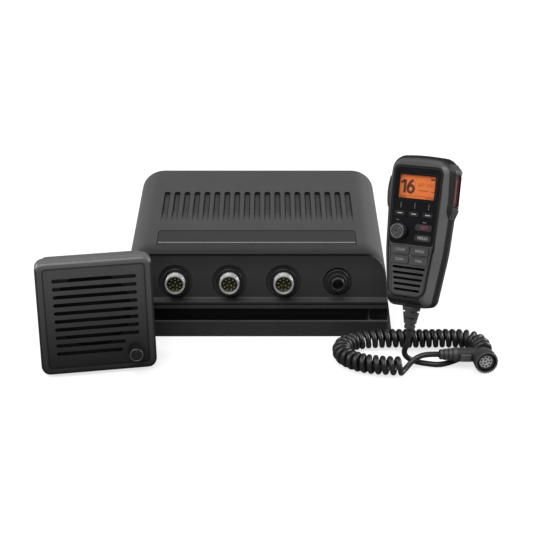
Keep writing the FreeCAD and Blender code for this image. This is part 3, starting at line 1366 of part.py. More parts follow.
def cord_boot():
    """A segmented strain relief that tapers down to the cord."""
    profile = [
        (CORD_DIAMETER / 2, -BOOT_LENGTH),
        (BOOT_END_RADIUS, -BOOT_LENGTH),
        (BOOT_TOP_RADIUS, 0),
        (BOOT_CORE_RADIUS, 0),
        (BOOT_CORE_RADIUS, HANDSET_WALL + 1.5),
        (CORD_DIAMETER / 2, HANDSET_WALL + 1.5),
    ]
    boot = turned(profile, [0, 0.8, 0.8, 0, 0, 0])
    cuts = []
    wide = BOOT_TOP_RADIUS + 1
    for i, depth in enumerate(BOOT_NOTCHES):
        low = -depth - BOOT_NOTCH_HEIGHT / 2
        high = low + BOOT_NOTCH_HEIGHT
        for side in (-1, 1):
            slab = block(BOOT_WEB, wide, -wide, wide, low, high)
            turn = (0 if side > 0 else 180) + (90 if i % 2 else 0)
            slab = slab.cut(rod(BOOT_CORE_RADIUS, Vector(0, 0, low), AXIS_Z, BOOT_NOTCH_HEIGHT))
            cuts.append(placed(slab, Placement(Vector(0, 0, 0), Rotation(AXIS_Z, turn))))
    save("cord_boot", placed(boot.cut(cuts), handset_place()))


def handset():
    handset_shells()
    handset_front_pieces()
    selector_pieces()
    side_controls()
    handset_inside()
    hang_stud()
    cord_boot()


# ---------------------------------------------------------------- cord and plug
def tangent_arc_path(points):
    """Straight runs joined by tangent arcs; returns the wire, its length and its arc radii."""
    spots = [Vector(*point) for point in points]
    edges = []
    radii = []
    pen = spots[0]
    for i in range(1, len(spots) - 1):
        back = spots[i - 1] - spots[i]
        ahead = spots[i + 1] - spots[i]
        shorter = min(back.Length, ahead.Length)
        turn = math.pi - back.getAngle(ahead)
        reach = 0.45 * shorter
        radius = reach / math.tan(turn / 2)
        radii.append(radius)
        back.normalize()
        ahead.normalize()
        start = spots[i] + back * reach
        end = spots[i] + ahead * reach
        half = (math.pi - turn) / 2
        middle = spots[i] + (back + ahead).normalize() * (radius / math.sin(half) - radius)
        edges.append(Part.LineSegment(pen, start).toShape())
        edges.append(Part.Arc(start, middle, end).toShape())
        pen = end
    edges.append(Part.LineSegment(pen, spots[-1]).toShape())
    wire = Part.Wire(edges)
    return wire, wire.Length, radii


def cord_tube(label, points, diameter):
    wire, length, radii = tangent_arc_path(points)
    start = Vector(*points[0])
    heading = (Vector(*points[1]) - start).normalize()
    circle = Part.Wire(Part.makeCircle(diameter / 2, start, heading))
    body = wire.makePipeShell([circle], True, False)
    wanted = math.pi * diameter * diameter / 4 * length
    print(label, "length", round(length, 1), "radii", [round(r, 1) for r in radii],
          "volume ratio", round(body.Volume / wanted, 4))
    return body


def cord():
    exit_point = handset_place().multVec(Vector(0, 0, -BOOT_LENGTH))
    start = (exit_point.x, exit_point.y, exit_point.z)
    boot_end = plug_place().multVec(Vector(-ARM_LENGTH - PLUG_BOOT_LENGTH, 0, 0))
    end = (boot_end.x, boot_end.y, boot_end.z)
    save("handset_cord_tail", cord_tube("handset tail", (start,) + HANDSET_TAIL, CORD_DIAMETER))
    save("curly_cord", cord_tube("coil", COIL_ROUTE, COIL_DIAMETER))
    save("plug_cord_tail", cord_tube("plug tail", PLUG_TAIL + (end,), CORD_DIAMETER))


def plug():
    """A right-angle plug: its arm lies along -X, its mouth opens towards -Y."""
    place = plug_place()
    arm = rod(ARM_RADIUS, Vector(-ARM_LENGTH, 0, 0), AXIS_X, ARM_LENGTH)
    elbow = Part.makeSphere(ELBOW_RADIUS)
    neck = rod(NECK_RADIUS, Vector(0, 0, 0), AXIS_Y * -1, ELBOW_RADIUS - 1 + NECK_LENGTH)
    face_y = -(ELBOW_RADIUS - 1 + NECK_LENGTH)
    core = rod(CORE_RADIUS, Vector(0, face_y, 0), AXIS_Y * -1, CORE_REACH)
    bowl = rod(CORE_RADIUS - CORE_WALL, Vector(0, face_y - CORE_REACH + 3, 0), AXIS_Y * -1, 3)
    body = arm.fuse([elbow, neck, core]).cut(bowl).removeSplitter()
    save("plug_body", placed(body, place))
    disc = rod(DISC_RADIUS, Vector(0, face_y - CORE_REACH + 3, 0), AXIS_Y * -1, 2)
    holes = []
    for count, circle in ((OUTER_PIN_COUNT, OUTER_PIN_CIRCLE - 0.6), (INNER_PIN_COUNT, INNER_PIN_CIRCLE - 0.3)):
        for i in range(count):
            angle = 2 * math.pi * i / count
            centre = Vector(circle * math.sin(angle), face_y - CORE_REACH + 2, circle * math.cos(angle))
            holes.append(rod(DISC_HOLE_RADIUS, centre, AXIS_Y * -1, 3))
    save("plug_contact_disc", placed(disc.cut(holes), place))
    ring_back = face_y + NECK_LENGTH - 0.6
    profile = [
        (NECK_RADIUS + FIT_GAP, 0),
        (COUPLING_RADIUS, 0),
        (COUPLING_RADIUS, COUPLING_LENGTH),
        (COUPLING_BORE, COUPLING_LENGTH),
        (COUPLING_BORE, COUPLING_LAND),
        (NECK_RADIUS + FIT_GAP, COUPLING_LAND),
    ]
    ring = turned(profile, [0, 0.6, 0.8, 0.3, 0, 0])
    seat = Placement(Vector(0, ring_back, 0), Rotation(AXIS_X, 90))
    save("plug_coupling_ring", placed(placed(ring, seat), place))
    profile = [
        (CORD_DIAMETER / 2, 0),
        (ARM_RADIUS, 0),
        (PLUG_BOOT_END_RADIUS, PLUG_BOOT_LENGTH),
        (CORD_DIAMETER / 2, PLUG_BOOT_LENGTH),
    ]
    boot = turned(profile, [0, 0, 0.8, 0])
    for depth in PLUG_BOOT_GROOVES:
        radius = ARM_RADIUS + (PLUG_BOOT_END_RADIUS - ARM_RADIUS) * depth / PLUG_BOOT_LENGTH - PLUG_BOOT_GROOVE_DEPTH
        start = Vector(0, 0, depth - PLUG_BOOT_GROOVE_WIDTH / 2)
        boot = boot.cut(tube(ARM_RADIUS + 1, radius, start, AXIS_Z, PLUG_BOOT_GROOVE_WIDTH))
    seat = Placement(Vector(-ARM_LENGTH, 0, 0), Rotation(AXIS_Y, -90))
    save("plug_boot", placed(placed(boot, seat), place))


def main():
    os.makedirs("parts", exist_ok=True)
    transceiver()
    speaker()
    handset()
    cord()
    plug()


main()
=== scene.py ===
"""Looks of a marine VHF radio: a black-box transceiver, a loudspeaker and a fist handset.

Every piece is in metres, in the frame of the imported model. The classes below build what the
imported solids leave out, and give each solid its finish.
"""

import logging
import math
import random
from dataclasses import dataclass, field
from enum import Enum
from typing import Callable, Iterable, Optional, Sequence, Union

import bmesh
import bpy
from mathutils import Matrix, Vector


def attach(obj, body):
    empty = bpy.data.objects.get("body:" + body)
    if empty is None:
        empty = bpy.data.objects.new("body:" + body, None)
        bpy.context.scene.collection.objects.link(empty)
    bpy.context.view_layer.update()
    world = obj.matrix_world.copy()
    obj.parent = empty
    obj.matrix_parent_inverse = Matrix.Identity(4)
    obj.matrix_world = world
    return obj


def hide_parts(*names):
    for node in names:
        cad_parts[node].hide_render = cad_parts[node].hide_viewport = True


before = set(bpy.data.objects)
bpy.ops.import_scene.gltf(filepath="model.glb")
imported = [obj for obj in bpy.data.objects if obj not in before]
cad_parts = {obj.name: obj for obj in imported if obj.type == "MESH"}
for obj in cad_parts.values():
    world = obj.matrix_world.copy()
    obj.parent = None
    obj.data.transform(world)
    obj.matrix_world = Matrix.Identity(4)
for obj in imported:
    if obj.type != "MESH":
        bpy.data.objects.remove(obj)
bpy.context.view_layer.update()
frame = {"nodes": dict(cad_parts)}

LOG = logging.getLogger("marine_radio")
logging.basicConfig(level=logging.INFO, format="%(name)s: %(message)s")

MM = 0.001
FAR = 9.0e3
# the black that painted shade mixes into a surface
PAINTED_SHADE_BLACK = (0.0025, 0.0025, 0.0025)
Pair = tuple[float, float]
Point = tuple[float, float, float]
Colour = tuple[float, float, float]
Form = bmesh.types.BMesh
Build = Callable[[Form], None]
Mesh = bpy.types.Mesh
Material = bpy.types.Material


# ---------------------------------------------------------------- node trees
class Wire:
    """A value that leaves a node; Python's operators on it add Math nodes."""

    def __init__(self, draft: "NodeDraft", socket: bpy.types.NodeSocket) -> None:
        """Keeps the output socket and the draft that new nodes go into."""
        self.draft = draft
        self.socket = socket

    def __add__(self, other: "Number") -> "Wire":
        """Returns self + other."""
        return self.draft.math("ADD", self, other)

    def __sub__(self, other: "Number") -> "Wire":
        """Returns self - other."""
        return self.draft.math("SUBTRACT", self, other)

    def __rsub__(self, other: "Number") -> "Wire":
        """Returns other - self."""
        return self.draft.math("SUBTRACT", other, self)

    def __mul__(self, other: "Number") -> "Wire":
        """Returns self * other."""
        return self.draft.math("MULTIPLY", self, other)

    def __truediv__(self, other: "Number") -> "Wire":
        """Returns self / other."""
        return self.draft.math("DIVIDE", self, other)

    def __pow__(self, power: "Number") -> "Wire":
        """Returns self to a power."""
        return self.draft.math("POWER", self, power)

    def __abs__(self) -> "Wire":
        """Returns the size of self without its sign."""
        return self.draft.math("ABSOLUTE", self, 0.0)

    def least(self, other: "Number") -> "Wire":
        """Returns the smaller of self and other."""
        return self.draft.math("MINIMUM", self, other)

    def most(self, other: "Number") -> "Wire":
        """Returns the larger of self and other."""
        return self.draft.math("MAXIMUM", self, other)

    def below(self, limit: float, soft: float) -> "Wire":
        """Returns a mask that is 1 under a limit and 0 above it, changing over a soft width."""
        return ((self * -1.0 + limit) / soft + 0.5).clamp()

    def clamp(self) -> "Wire":
        """Returns self held between 0 and 1."""
        return self.draft.add("ShaderNodeClamp", Value=self)


Number = Union[float, int, Wire]


class NodeDraft:
    """A node tree while its nodes are laid out."""

    def __init__(self, tree: bpy.types.NodeTree) -> None:
        """Keeps a tree and empties it."""
        self.tree = tree
        tree.nodes.clear()

    def add(self, kind: str, *first: object, output: Union[int, str] = 0, **values: object) -> Wire:
        """Adds a node.

        Args:
            kind: its type.
            *first: values or wires for its first inputs in order; None leaves one as it is.
            output: which output is returned.
            **values: a name in lower case is set on the node, and any other is an input, with
                _ for each space.

        Returns:
            The chosen output.
        """
        node = self.tree.nodes.new(kind)
        named = {}
        for key, value in values.items():
            if key[0].islower():
                setattr(node, key, value)
            else:
                named[key.replace("_", " ")] = value
        for socket, value in zip(node.inputs, first):
            if value is not None:
                self.feed(socket, value)
        for label, value in named.items():
            self.feed(node.inputs[label], value)
        return Wire(self, node.outputs[output])

    def feed(self, socket: bpy.types.NodeSocket, value: object) -> None:
        """Sets or links one input socket.

        Args:
            socket: the input.
            value: a wire, several wires for a socket that takes them, or a plain value.
        """
        if isinstance(value, list):
            for each in value:
                self.feed(socket, each)
        elif isinstance(value, Wire):
            self.tree.links.new(value.socket, socket)
        elif socket.type == "RGBA" and len(value) == 3:
            socket.default_value = (*value, 1.0)
        else:
            socket.default_value = value

    def math(self, operation: str, first: Number, second: Number) -> Wire:
        """Adds one Math node and returns its result."""
        return self.add("ShaderNodeMath", first, second, operation=operation)

    def end(self, kind: str, wire: Wire) -> None:
        """Leads a wire into an output node of that kind."""
        self.feed(self.tree.nodes.new(kind).inputs[0], wire)


class FinishDraft(NodeDraft):
    """A material or a world while its nodes are laid out."""

    def __init__(self, owner: Union[Material, bpy.types.World]) -> None:
        """Starts the owner's nodes afresh.

        Args:
            owner: the new material or world.
        """
        owner.use_nodes = True
        super().__init__(owner.node_tree)
        self.owner = owner

    def here(self) -> Wire:
        """Returns the object coordinates, in metres."""
        return self.add("ShaderNodeTexCoord", output="Object")

    def turned(self, place: Matrix) -> Wire:
        """Object coordinates seen from a unit's own frame.

        Args:
            place: the unit's place in the row frame.

        Returns:
            The coordinates in the unit's frame, in metres.
        """
        back = place.inverted()
        shift, turn = tuple(back.translation), tuple(back.to_euler())
        return self.add("ShaderNodeMapping", Vector=self.here(), Location=shift, Rotation=turn)

    def axes(self, vector: Wire) -> tuple[Wire, ...]:
        """Splits a vector into its three numbers."""
        node = self.add("ShaderNodeSeparateXYZ", vector).socket.node
        return tuple(Wire(self, socket) for socket in node.outputs)

    def stretched(self, vector: Wire, scale: Point) -> Wire:
        """Returns a vector multiplied axis by axis."""
        return self.add("ShaderNodeVectorMath", vector, scale, operation="MULTIPLY")

    def scaled(self, colour: Wire, gain: Number) -> Wire:
        """Returns a colour made paler or darker by a number."""
        return self.add("ShaderNodeVectorMath", colour, operation="SCALE", Scale=gain)

    def noise(self, vector: Wire, size: float, detail: float = 2.0, rough: float = 0.5) -> Wire:
        """Returns cloudy noise of a cloud size in metres: from 0 to 1, and mostly near 0.5."""
        values = {"Vector": vector, "Scale": 1.0 / size, "Detail": detail, "Roughness": rough}
        return self.add("ShaderNodeTexNoise", **values)

    def cells(self, vector: Wire, size: float) -> Wire:
        """Returns the distance to the nearest point of a cell pattern, about 0 to 1."""
        return self.add("ShaderNodeTexVoronoi", output="Distance", Vector=vector, Scale=1.0 / size)

    def blend(self, factor: Number, first: object, second: object) -> Wire:
        """Returns two colours mixed, with a factor for how much of the second shows."""
        unused = [None] * 5
        return self.add(
            "ShaderNodeMix", factor, *unused, first, second, output=2, data_type="RGBA"
        )

    def bump(self, height: Wire, depth: float) -> Wire:
        """Returns the normal bent by a height from 0 to 1, for a depth in metres."""
        return self.add("ShaderNodeBump", Height=height, Distance=depth)

    def close(self, keep: Optional[Wire] = None, **values: object) -> Material:
        """Adds the surface shader and the output.

        Args:
            keep: how much of the surface is kept; the rest is deep black, as painted shade.
            **values: sockets of the Principled shader, with _ for each space.

        Returns:
            The finished material.
        """
        shader = self.add("ShaderNodeBsdfPrincipled", **values)
        # painted shade: where keep is under 1, the surface is mixed towards dull black
        if keep is not None:
            dull = {"Base Color": PAINTED_SHADE_BLACK, "Roughness": 0.7, "Specular IOR Level": 0.05}
            black = self.add("ShaderNodeBsdfPrincipled", **dull)
            shader = self.add("ShaderNodeMixShader", keep, black, shader)
        self.end("ShaderNodeOutputMaterial", shader)
        return self.owner


# ---------------------------------------------------------------- painted shade and painted highlights
@dataclass(frozen=True)
class Shade:
    """A box in a unit's own frame, in millimetres, with painted shade or a painted highlight."""

    gain: float
    low: Point = (-FAR, -FAR, -FAR)
    high: Point = (FAR, FAR, FAR)
    soft: float = 0.5
    place: Matrix = field(default_factory=lambda: Matrix.Identity(4))

    def mask_on(self, draft: FinishDraft) -> Optional[Wire]:
        """Where the box is.

        Args:
            draft: the material under construction.

        Returns:
            A mask that is 1 inside the box and 0 outside it, or None for a box without sides.
        """
        mask = None
        soft = self.soft * MM
        for value, low, high in zip(draft.axes(draft.turned(self.place)), self.low, self.high):
            edges = []
            if low > -FAR:
                edges.append(((value - low * MM) / soft + 0.5).clamp())
            if high < FAR:
                edges.append(((high * MM - value) / soft + 0.5).clamp())
            for edge in edges:
                mask = edge if mask is None else mask * edge
        return mask

    def gain_on(self, draft: FinishDraft) -> Wire:
        """Returns the number that the surface is multiplied by: the gain inside, 1 outside."""
        return self.mask_on(draft) * (self.gain - 1.0) + 1.0


@dataclass(frozen=True)
class GrooveOutline(Shade):
    """Painted shade on the edges of a row of straight, round-ended grooves, even in pitch along X.
    """

    pitch: float = 10.0
    middle: float = 0.0
    half_run: float = 10.0
    reach: float = 2.5
    line: float = 0.9
    fade: float = 18.0

    def mask_on(self, draft: FinishDraft) -> Wire:
        """The grooves' edges.

        Args:
            draft: the material under construction.

        Returns:
            A mask that is 1 on the edges and fades towards their near ends.
        """
        across, along, _ = draft.axes(draft.here())
        aside = draft.math("PINGPONG", across, self.pitch * MM / 2)
        beyond = abs(along - self.middle * MM) - self.half_run * MM
        beyond = beyond * (1.0 - beyond.below(0.0, 1e-6))
        out = (aside * aside + beyond * beyond) ** 0.5
        edge = abs(out - self.reach * MM).below(self.line * MM / 2, self.line * MM * 0.35)
        start = (along - (self.middle - self.half_run - self.reach) * MM) / (self.fade * MM)
        return edge * start.clamp() * super().mask_on(draft)


@dataclass(frozen=True)
class TaperOutline(Shade):
    """A line of painted shade round a plate that may be narrower at one end, in a unit's XZ plane.
    """

    foot: Pair = (10.0, 0.0)
    head: Pair = (10.0, 20.0)
    corner: float = 2.0
    reach: float = 0.0
    line: float = 0.9

    def mask_on(self, draft: FinishDraft) -> Wire:
        """The line.

        Args:
            draft: the material under construction.

        Returns:
            A mask that is 1 on the line, within the box.
        """
        across, _, up = draft.axes(draft.turned(self.place))
        slope = (self.head[0] - self.foot[0]) / (self.head[1] - self.foot[1])
        half = (up - self.foot[1] * MM) * slope + (self.foot[0] - self.corner) * MM
        aside = abs(across) - half
        middle = (self.head[1] + self.foot[1]) / 2
        beyond = abs(up - middle * MM) - (self.head[1] - middle - self.corner) * MM
        out_x, out_z = aside.most(0.0), beyond.most(0.0)
        away = (out_x * out_x + out_z * out_z) ** 0.5 + aside.most(beyond).least(0.0)
        centre = (self.corner + self.reach) * MM
        edge = abs(away - centre).below(self.line * MM / 2, self.line * MM * 0.4)
        return edge * super().mask_on(draft)


# ---------------------------------------------------------------- finishes
def grey(tone: float) -> Colour:
    """Returns a dark near-grey, a touch blue."""
    return (tone, tone, tone + 0.001)


def toned(colour: Colour, gain: float, lift: float = 0.0) -> Colour:
    """Returns a colour multiplied by a gain and then lifted."""
    return tuple(c * gain + lift for c in colour)


@dataclass(frozen=True)
class Finish:
    """What a surface is made of; the workshop makes each name once."""

    name: str

    def make(self) -> Material:
        """Returns the material."""
        return self.lay(FinishDraft(bpy.data.materials.new(self.name)))

    def lay(self, draft: FinishDraft) -> Material:
        """Lays out the finish's nodes and returns the material."""
        raise NotImplementedError(type(self).__name__)


@dataclass(frozen=True)
class MouldedPlastic(Finish):
    """Spark-textured moulded plastic, a little rubbed and uneven, with painted shade and
    highlights.
    """

    colour: Colour
    roughness: float = 0.42
    grain: float = 0.00042
    depth: float = 0.000018
    cloud: float = 0.10
    gloss: float = 0.38
    shades: tuple[Shade, ...] = ()

    def lay(self, draft: FinishDraft) -> Material:
        """Lays out the finish.

        Args:
            draft: the empty material.

        Returns:
            The material.
        """
        here = draft.here()
        broad = draft.noise(here, 0.030, 3.0)
        fine = draft.noise(here, self.grain, 1.0)
        pits = draft.cells(here, self.grain * 1.6)
        light = toned(self.colour, 1.0 + self.cloud, 0.0015)
        dark = toned(self.colour, 1.0 - self.cloud)
        tone = draft.blend((broad * 1.4 - 0.2 + (fine - 0.5) * 0.5).clamp(), dark, light)
        keep = None
        # painted light: a gain above 1 paints a highlight into the colour, one below 1 mixes in
        # black as painted shade
        for shade in self.shades:
            gain = shade.gain_on(draft)
            if shade.gain > 1.0:
                tone = draft.scaled(tone, gain)
            else:
                keep = gain if keep is None else keep * gain
        return draft.close(
            Base_Color=tone,
            Roughness=(broad - 0.5) * 0.10 + (fine - 0.5) * 0.12 + self.roughness,
            Normal=draft.bump(fine * 0.6 + pits * 0.4, self.depth),
            Specular_IOR_Level=self.gloss,
            keep=keep,
        )


@dataclass(frozen=True)
class SoftRubber(Finish):
    """Moulded rubber with a close satin bloom."""

    colour: Colour
    roughness: float = 0.5
    grain: float = 0.0003
    gloss: float = 0.38

    def lay(self, draft: FinishDraft) -> Material:
        """Lays out the finish.

        Args:
            draft: the empty material.

        Returns:
            The material.
        """
        here = draft.here()
        bloom = draft.noise(here, 0.006, 3.0)
        fine = draft.noise(here, self.grain, 1.0)
        pale = toned(self.colour, 1.35, 0.002)
        return draft.close(
            Base_Color=draft.blend((bloom * 1.6 - 0.3).clamp(), self.colour, pale),
            Roughness=(bloom - 0.5) * 0.18 + (fine - 0.5) * 0.1 + self.roughness,
            Normal=draft.bump(fine, 0.000012),
            Specular_IOR_Level=self.gloss,
        )


@dataclass(frozen=True)
class TurnedMetal(Finish):
    """Metal turned on a lathe: fine rings across its Z axis, with a little handling dulling it."""

    colour: Colour
    place: Matrix
    roughness: float = 0.32
    ring: float = 0.00018
    metal: float = 1.0
    haze: float = 0.28

    def lay(self, draft: FinishDraft) -> Material:
        """Lays out the finish.

        Args:
            draft: the empty material.

        Returns:
            The material.
        """
        local = draft.turned(self.place)
        rings = draft.noise(draft.stretched(local, (0.04, 0.04, 1.0)), self.ring, 2.0)
        haze = draft.noise(local, 0.004, 3.0)
        dull = toned(self.colour, 1.0 - self.haze)
        return draft.close(
            Base_Color=draft.blend((haze * 1.5 - 0.35).clamp(), self.colour, dull),
            Roughness=(haze - 0.5) * 0.7 * self.haze + (rings - 0.5) * 0.1 + self.roughness,
            Metallic=self.metal,
            Normal=draft.bump(rings, 0.000008),
        )


@dataclass(frozen=True)
class CastMetal(Finish):
    """Pressed, plated or cast metal with soft unevenness."""

    colour: Colour
    roughness: float = 0.4
    grain: float = 0.0012

    def lay(self, draft: FinishDraft) -> Material:
        """Lays out the finish.

        Args:
            draft: the empty material.

        Returns:
            The material.
        """
        here = draft.here()
        haze = draft.noise(here, 0.012, 3.0)
        fine = draft.noise(here, self.grain, 3.0)
        return draft.close(
            Base_Color=draft.blend(
                (haze * 1.4 - 0.2).clamp(), self.colour, toned(self.colour, 0.75)
            ),
            Roughness=(fine - 0.5) * 0.3 + self.roughness,
            Metallic=1.0,
            Normal=draft.bump(fine, 0.00003),
        )


@dataclass(frozen=True)
class GlossPanel(Finish):
    """Black gloss acrylic with a faint film of handling marks."""

    colour: Colour

    def lay(self, draft: FinishDraft) -> Material:
        """Lays out the finish.

        Args:
            draft: the empty material.

        Returns:
            The material.
        """
        smear = draft.noise(draft.stretched(draft.here(), (1.0, 0.4, 0.4)), 0.008, 4.0)
        return draft.close(
            Base_Color=draft.blend(smear, self.colour, toned(self.colour, 1.0, 0.002)),
            Roughness=(smear - 0.5) * 0.16 + 0.16,
            Specular_IOR_Level=0.16,
            Coat_Weight=0.08,
            Coat_Roughness=0.06,
        )


@dataclass(frozen=True)
class BacklitScreen(Finish):
    """A backlit amber liquid-crystal sheet: dot rows over an uneven glow."""

    place: Matrix
    centre: Pair
    half: Pair
    dot: float = 0.00033

    def lay(self, draft: FinishDraft) -> Material:
        """Lays out the finish.

        Args:
            draft: the empty material.

        Returns:
            The material.
        """
        across, _, up = draft.axes(draft.turned(self.place))
        left = abs((across - self.centre[0]) / self.half[0])
        high = abs((up - self.centre[1]) / self.half[1])
        edge = (left * left * 0.5 + high * high * 0.35).clamp()
        dots, rows = (draft.math("PINGPONG", way, self.dot / 2) for way in (across, up))
        grid = (dots.least(rows) / (self.dot * 0.12)).clamp()
        warm = draft.blend(edge, (0.56, 0.125, 0.022), (0.40, 0.080, 0.013))
        cloud = draft.noise(draft.here(), 0.007, 2.0)
        glow = draft.blend(cloud * 0.3, warm, (0.66, 0.19, 0.050))
        shown = draft.blend(grid, draft.blend(0.22, glow, (0.25, 0.05, 0.01)), glow)
        return draft.close(
            Base_Color=shown, Roughness=0.35, Emission_Color=shown, Emission_Strength=0.30
        )


@dataclass(frozen=True)
class PrintedInk(Finish):
    """Pad-printed ink, slightly thin and uneven."""

    colour: Colour
    roughness: float = 0.5

    def lay(self, draft: FinishDraft) -> Material:
        """Lays out the finish.

        Args:
            draft: the empty material.

        Returns:
            The material.
        """
        wear = draft.noise(draft.here(), 0.0009, 3.0)
        tone = draft.blend((wear * 1.6 - 0.3).clamp(), toned(self.colour, 0.72), self.colour)
        return draft.close(Base_Color=tone, Roughness=(wear - 0.5) * 0.2 + self.roughness)


@dataclass(frozen=True)
class ClearWindow(Finish):
    """Thin clear acrylic over the display."""

    def lay(self, draft: FinishDraft) -> Material:
        """Lays out the finish.

        Args:
            draft: the empty material.

        Returns:
            The material.
        """
        smear = draft.noise(draft.here(), 0.006, 3.0)
        return draft.close(
            Base_Color=(0.002, 0.002, 0.002),
            Roughness=(smear - 0.5) * 0.12 + 0.10,
            Alpha=0.06,
            Specular_IOR_Level=0.2,
        )


@dataclass(frozen=True)
class CircuitBoard(Finish):
    """Green solder resist with copper tracks showing through."""

    def lay(self, draft: FinishDraft) -> Material:
        """Lays out the finish.

        Args:
            draft: the empty material.

        Returns:
            The material.
        """
        lanes = draft.cells(draft.stretched(draft.here(), (1.0, 0.25, 1.0)), 0.004)
        track = lanes.below(0.32, 0.06)
        green = draft.blend(track, (0.010, 0.075, 0.030), (0.025, 0.13, 0.045))
        return draft.close(Base_Color=green, Roughness=0.35 - track * 0.08, Coat_Weight=0.2)


@dataclass(frozen=True)
class PressedPaper(Finish):
    """The loudspeaker's pulp cone, black, and darker still as painted shade behind the grille."""

    def lay(self, draft: FinishDraft) -> Material:
        """Lays out the finish.

        Args:
            draft: the empty material.

        Returns:
            The material.
        """
        fibre = draft.noise(draft.here(), 0.0008, 4.0, 0.7)
        # near black: the pulp's own black, darkened further as painted shade seen through the
        # grille
        tone = draft.blend(fibre, (0.003, 0.003, 0.003), (0.010, 0.0095, 0.009))
        return draft.close(Base_Color=tone, Roughness=0.85, Normal=draft.bump(fibre, 0.00008))


@dataclass(frozen=True)
class StudioFloor(Finish):
    """A seamless white sweep that throws little light back up."""

    bounce: float = 0.22
    evenness: float = 0.7

    def lay(self, draft: FinishDraft) -> Material:
        """Lays out the finish.

        Args:
            draft: the empty material.

        Returns:
            The material.
        """
        seen = draft.add("ShaderNodeLightPath", output="Is Camera Ray")
        paper = draft.add("ShaderNodeBsdfDiffuse", (0.92, 0.92, 0.92))
        flag = draft.add("ShaderNodeBsdfDiffuse", (self.bounce, self.bounce, self.bounce))
        glow = draft.add("ShaderNodeEmission")
        lit = draft.add("ShaderNodeMixShader", self.evenness, paper, glow)
        shown = draft.add("ShaderNodeMixShader", seen, flag, lit)
        draft.end("ShaderNodeOutputMaterial", shown)
        return draft.owner


BLACK_NYLON = MouldedPlastic("black nylon", grey(0.009), 0.5)
WORN_PLASTIC = MouldedPlastic("worn plastic", grey(0.050), 0.36)
HANDSET_BACK = MouldedPlastic("handset back", grey(0.010), 0.45, gloss=0.28)
BOOT_RUBBER = SoftRubber("boot rubber", (0.027, 0.027, 0.027), 0.42)
TALK_RUBBER = SoftRubber("talk rubber", grey(0.012), 0.55)
STAINLESS = CastMetal("stainless", (0.55, 0.55, 0.54), 0.34)
ZINC = CastMetal("zinc", (0.45, 0.45, 0.46), 0.42)
GLOSS_BLACK = GlossPanel("gloss black", grey(0.003))
SOLDER_RESIST = CircuitBoard("solder resist")


class Ink(Enum):
    """The inks of the printed marks."""

    RED = PrintedInk("red ink", (0.21, 0.022, 0.05))
    PALE = PrintedInk("pale ink", (0.30, 0.30, 0.30))
    SOFT = PrintedInk("soft ink", (0.20, 0.20, 0.20))
    GREY = PrintedInk("grey ink", (0.26, 0.26, 0.26))
    SCREEN = PrintedInk("screen ink", (0.10, 0.022, 0.006), 0.4)
    FAINT = PrintedInk("faint screen ink", (0.36, 0.075, 0.018), 0.4)


class Slot(Enum):
    """The record's material slots; each piece of this script is passed one, and nothing reads it.
    """

    METAL = "socket_metal"
    CORD = "cord_rubber"
    PLUG = "plug_plastic"
    AMBER = "display_amber"
    KEY = "key_rubber"
    TALK = "talk_rubber"
    PANEL = "gloss_panel"
    COVER = "cover_coat"
    STEEL = "stainless"
    SHELL = "handset_shell"
    KNOB = "knob_plastic"


# ---------------------------------------------------------------- places of the units
def tilted(point: Point, *turns: tuple[float, str]) -> Matrix:
    """A unit's place: its origin, then turns in order.

    Args:
        point: the origin, in millimetres.
        *turns: (degrees, axis) pairs, the outermost first.

    Returns:
        The place, in metres.
    """
    place = Matrix.Translation(Vector(point) * MM)
    for degrees, axis in turns:
        place = place @ Matrix.Rotation(math.radians(degrees), 4, axis)
    return place


HANDSET_PLACE = tilted((137.4, -151.9, 58.0), (-24.0, "X"), (5.5, "Y"), (-33.0, "Z"))
SPEAKER_PLACE = tilted((-138.0, -173.0, 2.914), (9.0, "Z"), (-12.011, "X"))
PLUG_PLACE = tilted((202.0, -154.2, 9.4), (8.0, "Z"), (-6.0, "X"), (5.3, "Y"))
ROW_FRAME = Matrix.Identity(4)
PANEL_TILT = 11.649

# flat drawings, such as legends, are made in XY and stood on a unit's front, which faces -Y
UPRIGHT = Matrix(((1, 0, 0, 0), (0, 0, -1, 0), (0, 1, 0, 0), (0, 0, 0, 1)))
FACING_BACK, FACING_FRONT = (Matrix.Rotation(turn, 4, "X") for turn in (-math.pi / 2, math.pi / 2))


def socket_place(x: float) -> Matrix:
    """Returns a socket's middle on the panel, x in millimetres, with +Z out of the panel."""
    return tilted((x, -85.225, 46.8), (90.0 - PANEL_TILT, "X"))


def stood(place: Matrix, x: float, y: float, z: float) -> Matrix:
    """Returns a flat drawing's place on a unit's front, with its middle at a point in metres."""
    return place @ Matrix.Translation((x, y, z)) @ UPRIGHT


# ---------------------------------------------------------------- meshes
def draw(build: Build, place: Matrix, name: str) -> Mesh:
    """Builds a mesh with bmesh, cleans it and puts it in place.

    Args:
        build: fills the bmesh, in metres, in the unit's own frame.
        place: the unit's place.
        name: the mesh's name.

    Returns:
        The mesh.
    """
    form = bmesh.new()
    build(form)
    bmesh.ops.remove_doubles(form, verts=form.verts, dist=1e-7)
    bmesh.ops.recalc_face_normals(form, faces=form.faces)
    form.transform(place)
    mesh = bpy.data.meshes.new(name)
    form.to_mesh(mesh)
    form.free()
    return mesh


def rounded_outline(
    half_width: float, half_height: float, corner: float, steps: int = 6
) -> list[Pair]:
    """A rounded rectangle's outline.

    Args:
        half_width: half its width.
        half_height: half its height.
        corner: its corner radius.
        steps: how many segments each corner has.

    Returns:
        Its points, anticlockwise about the origin.
    """
    outline = []
    for cx, cy, start in ((1, 1, 0), (-1, 1, 90), (-1, -1, 180), (1, -1, 270)):
        x, y = cx * (half_width - corner), cy * (half_height - corner)
        for i in range(steps + 1):
            angle = math.radians(start + 90 * i / steps)
            outline.append((x + corner * math.cos(angle), y + corner * math.sin(angle)))
    return outline


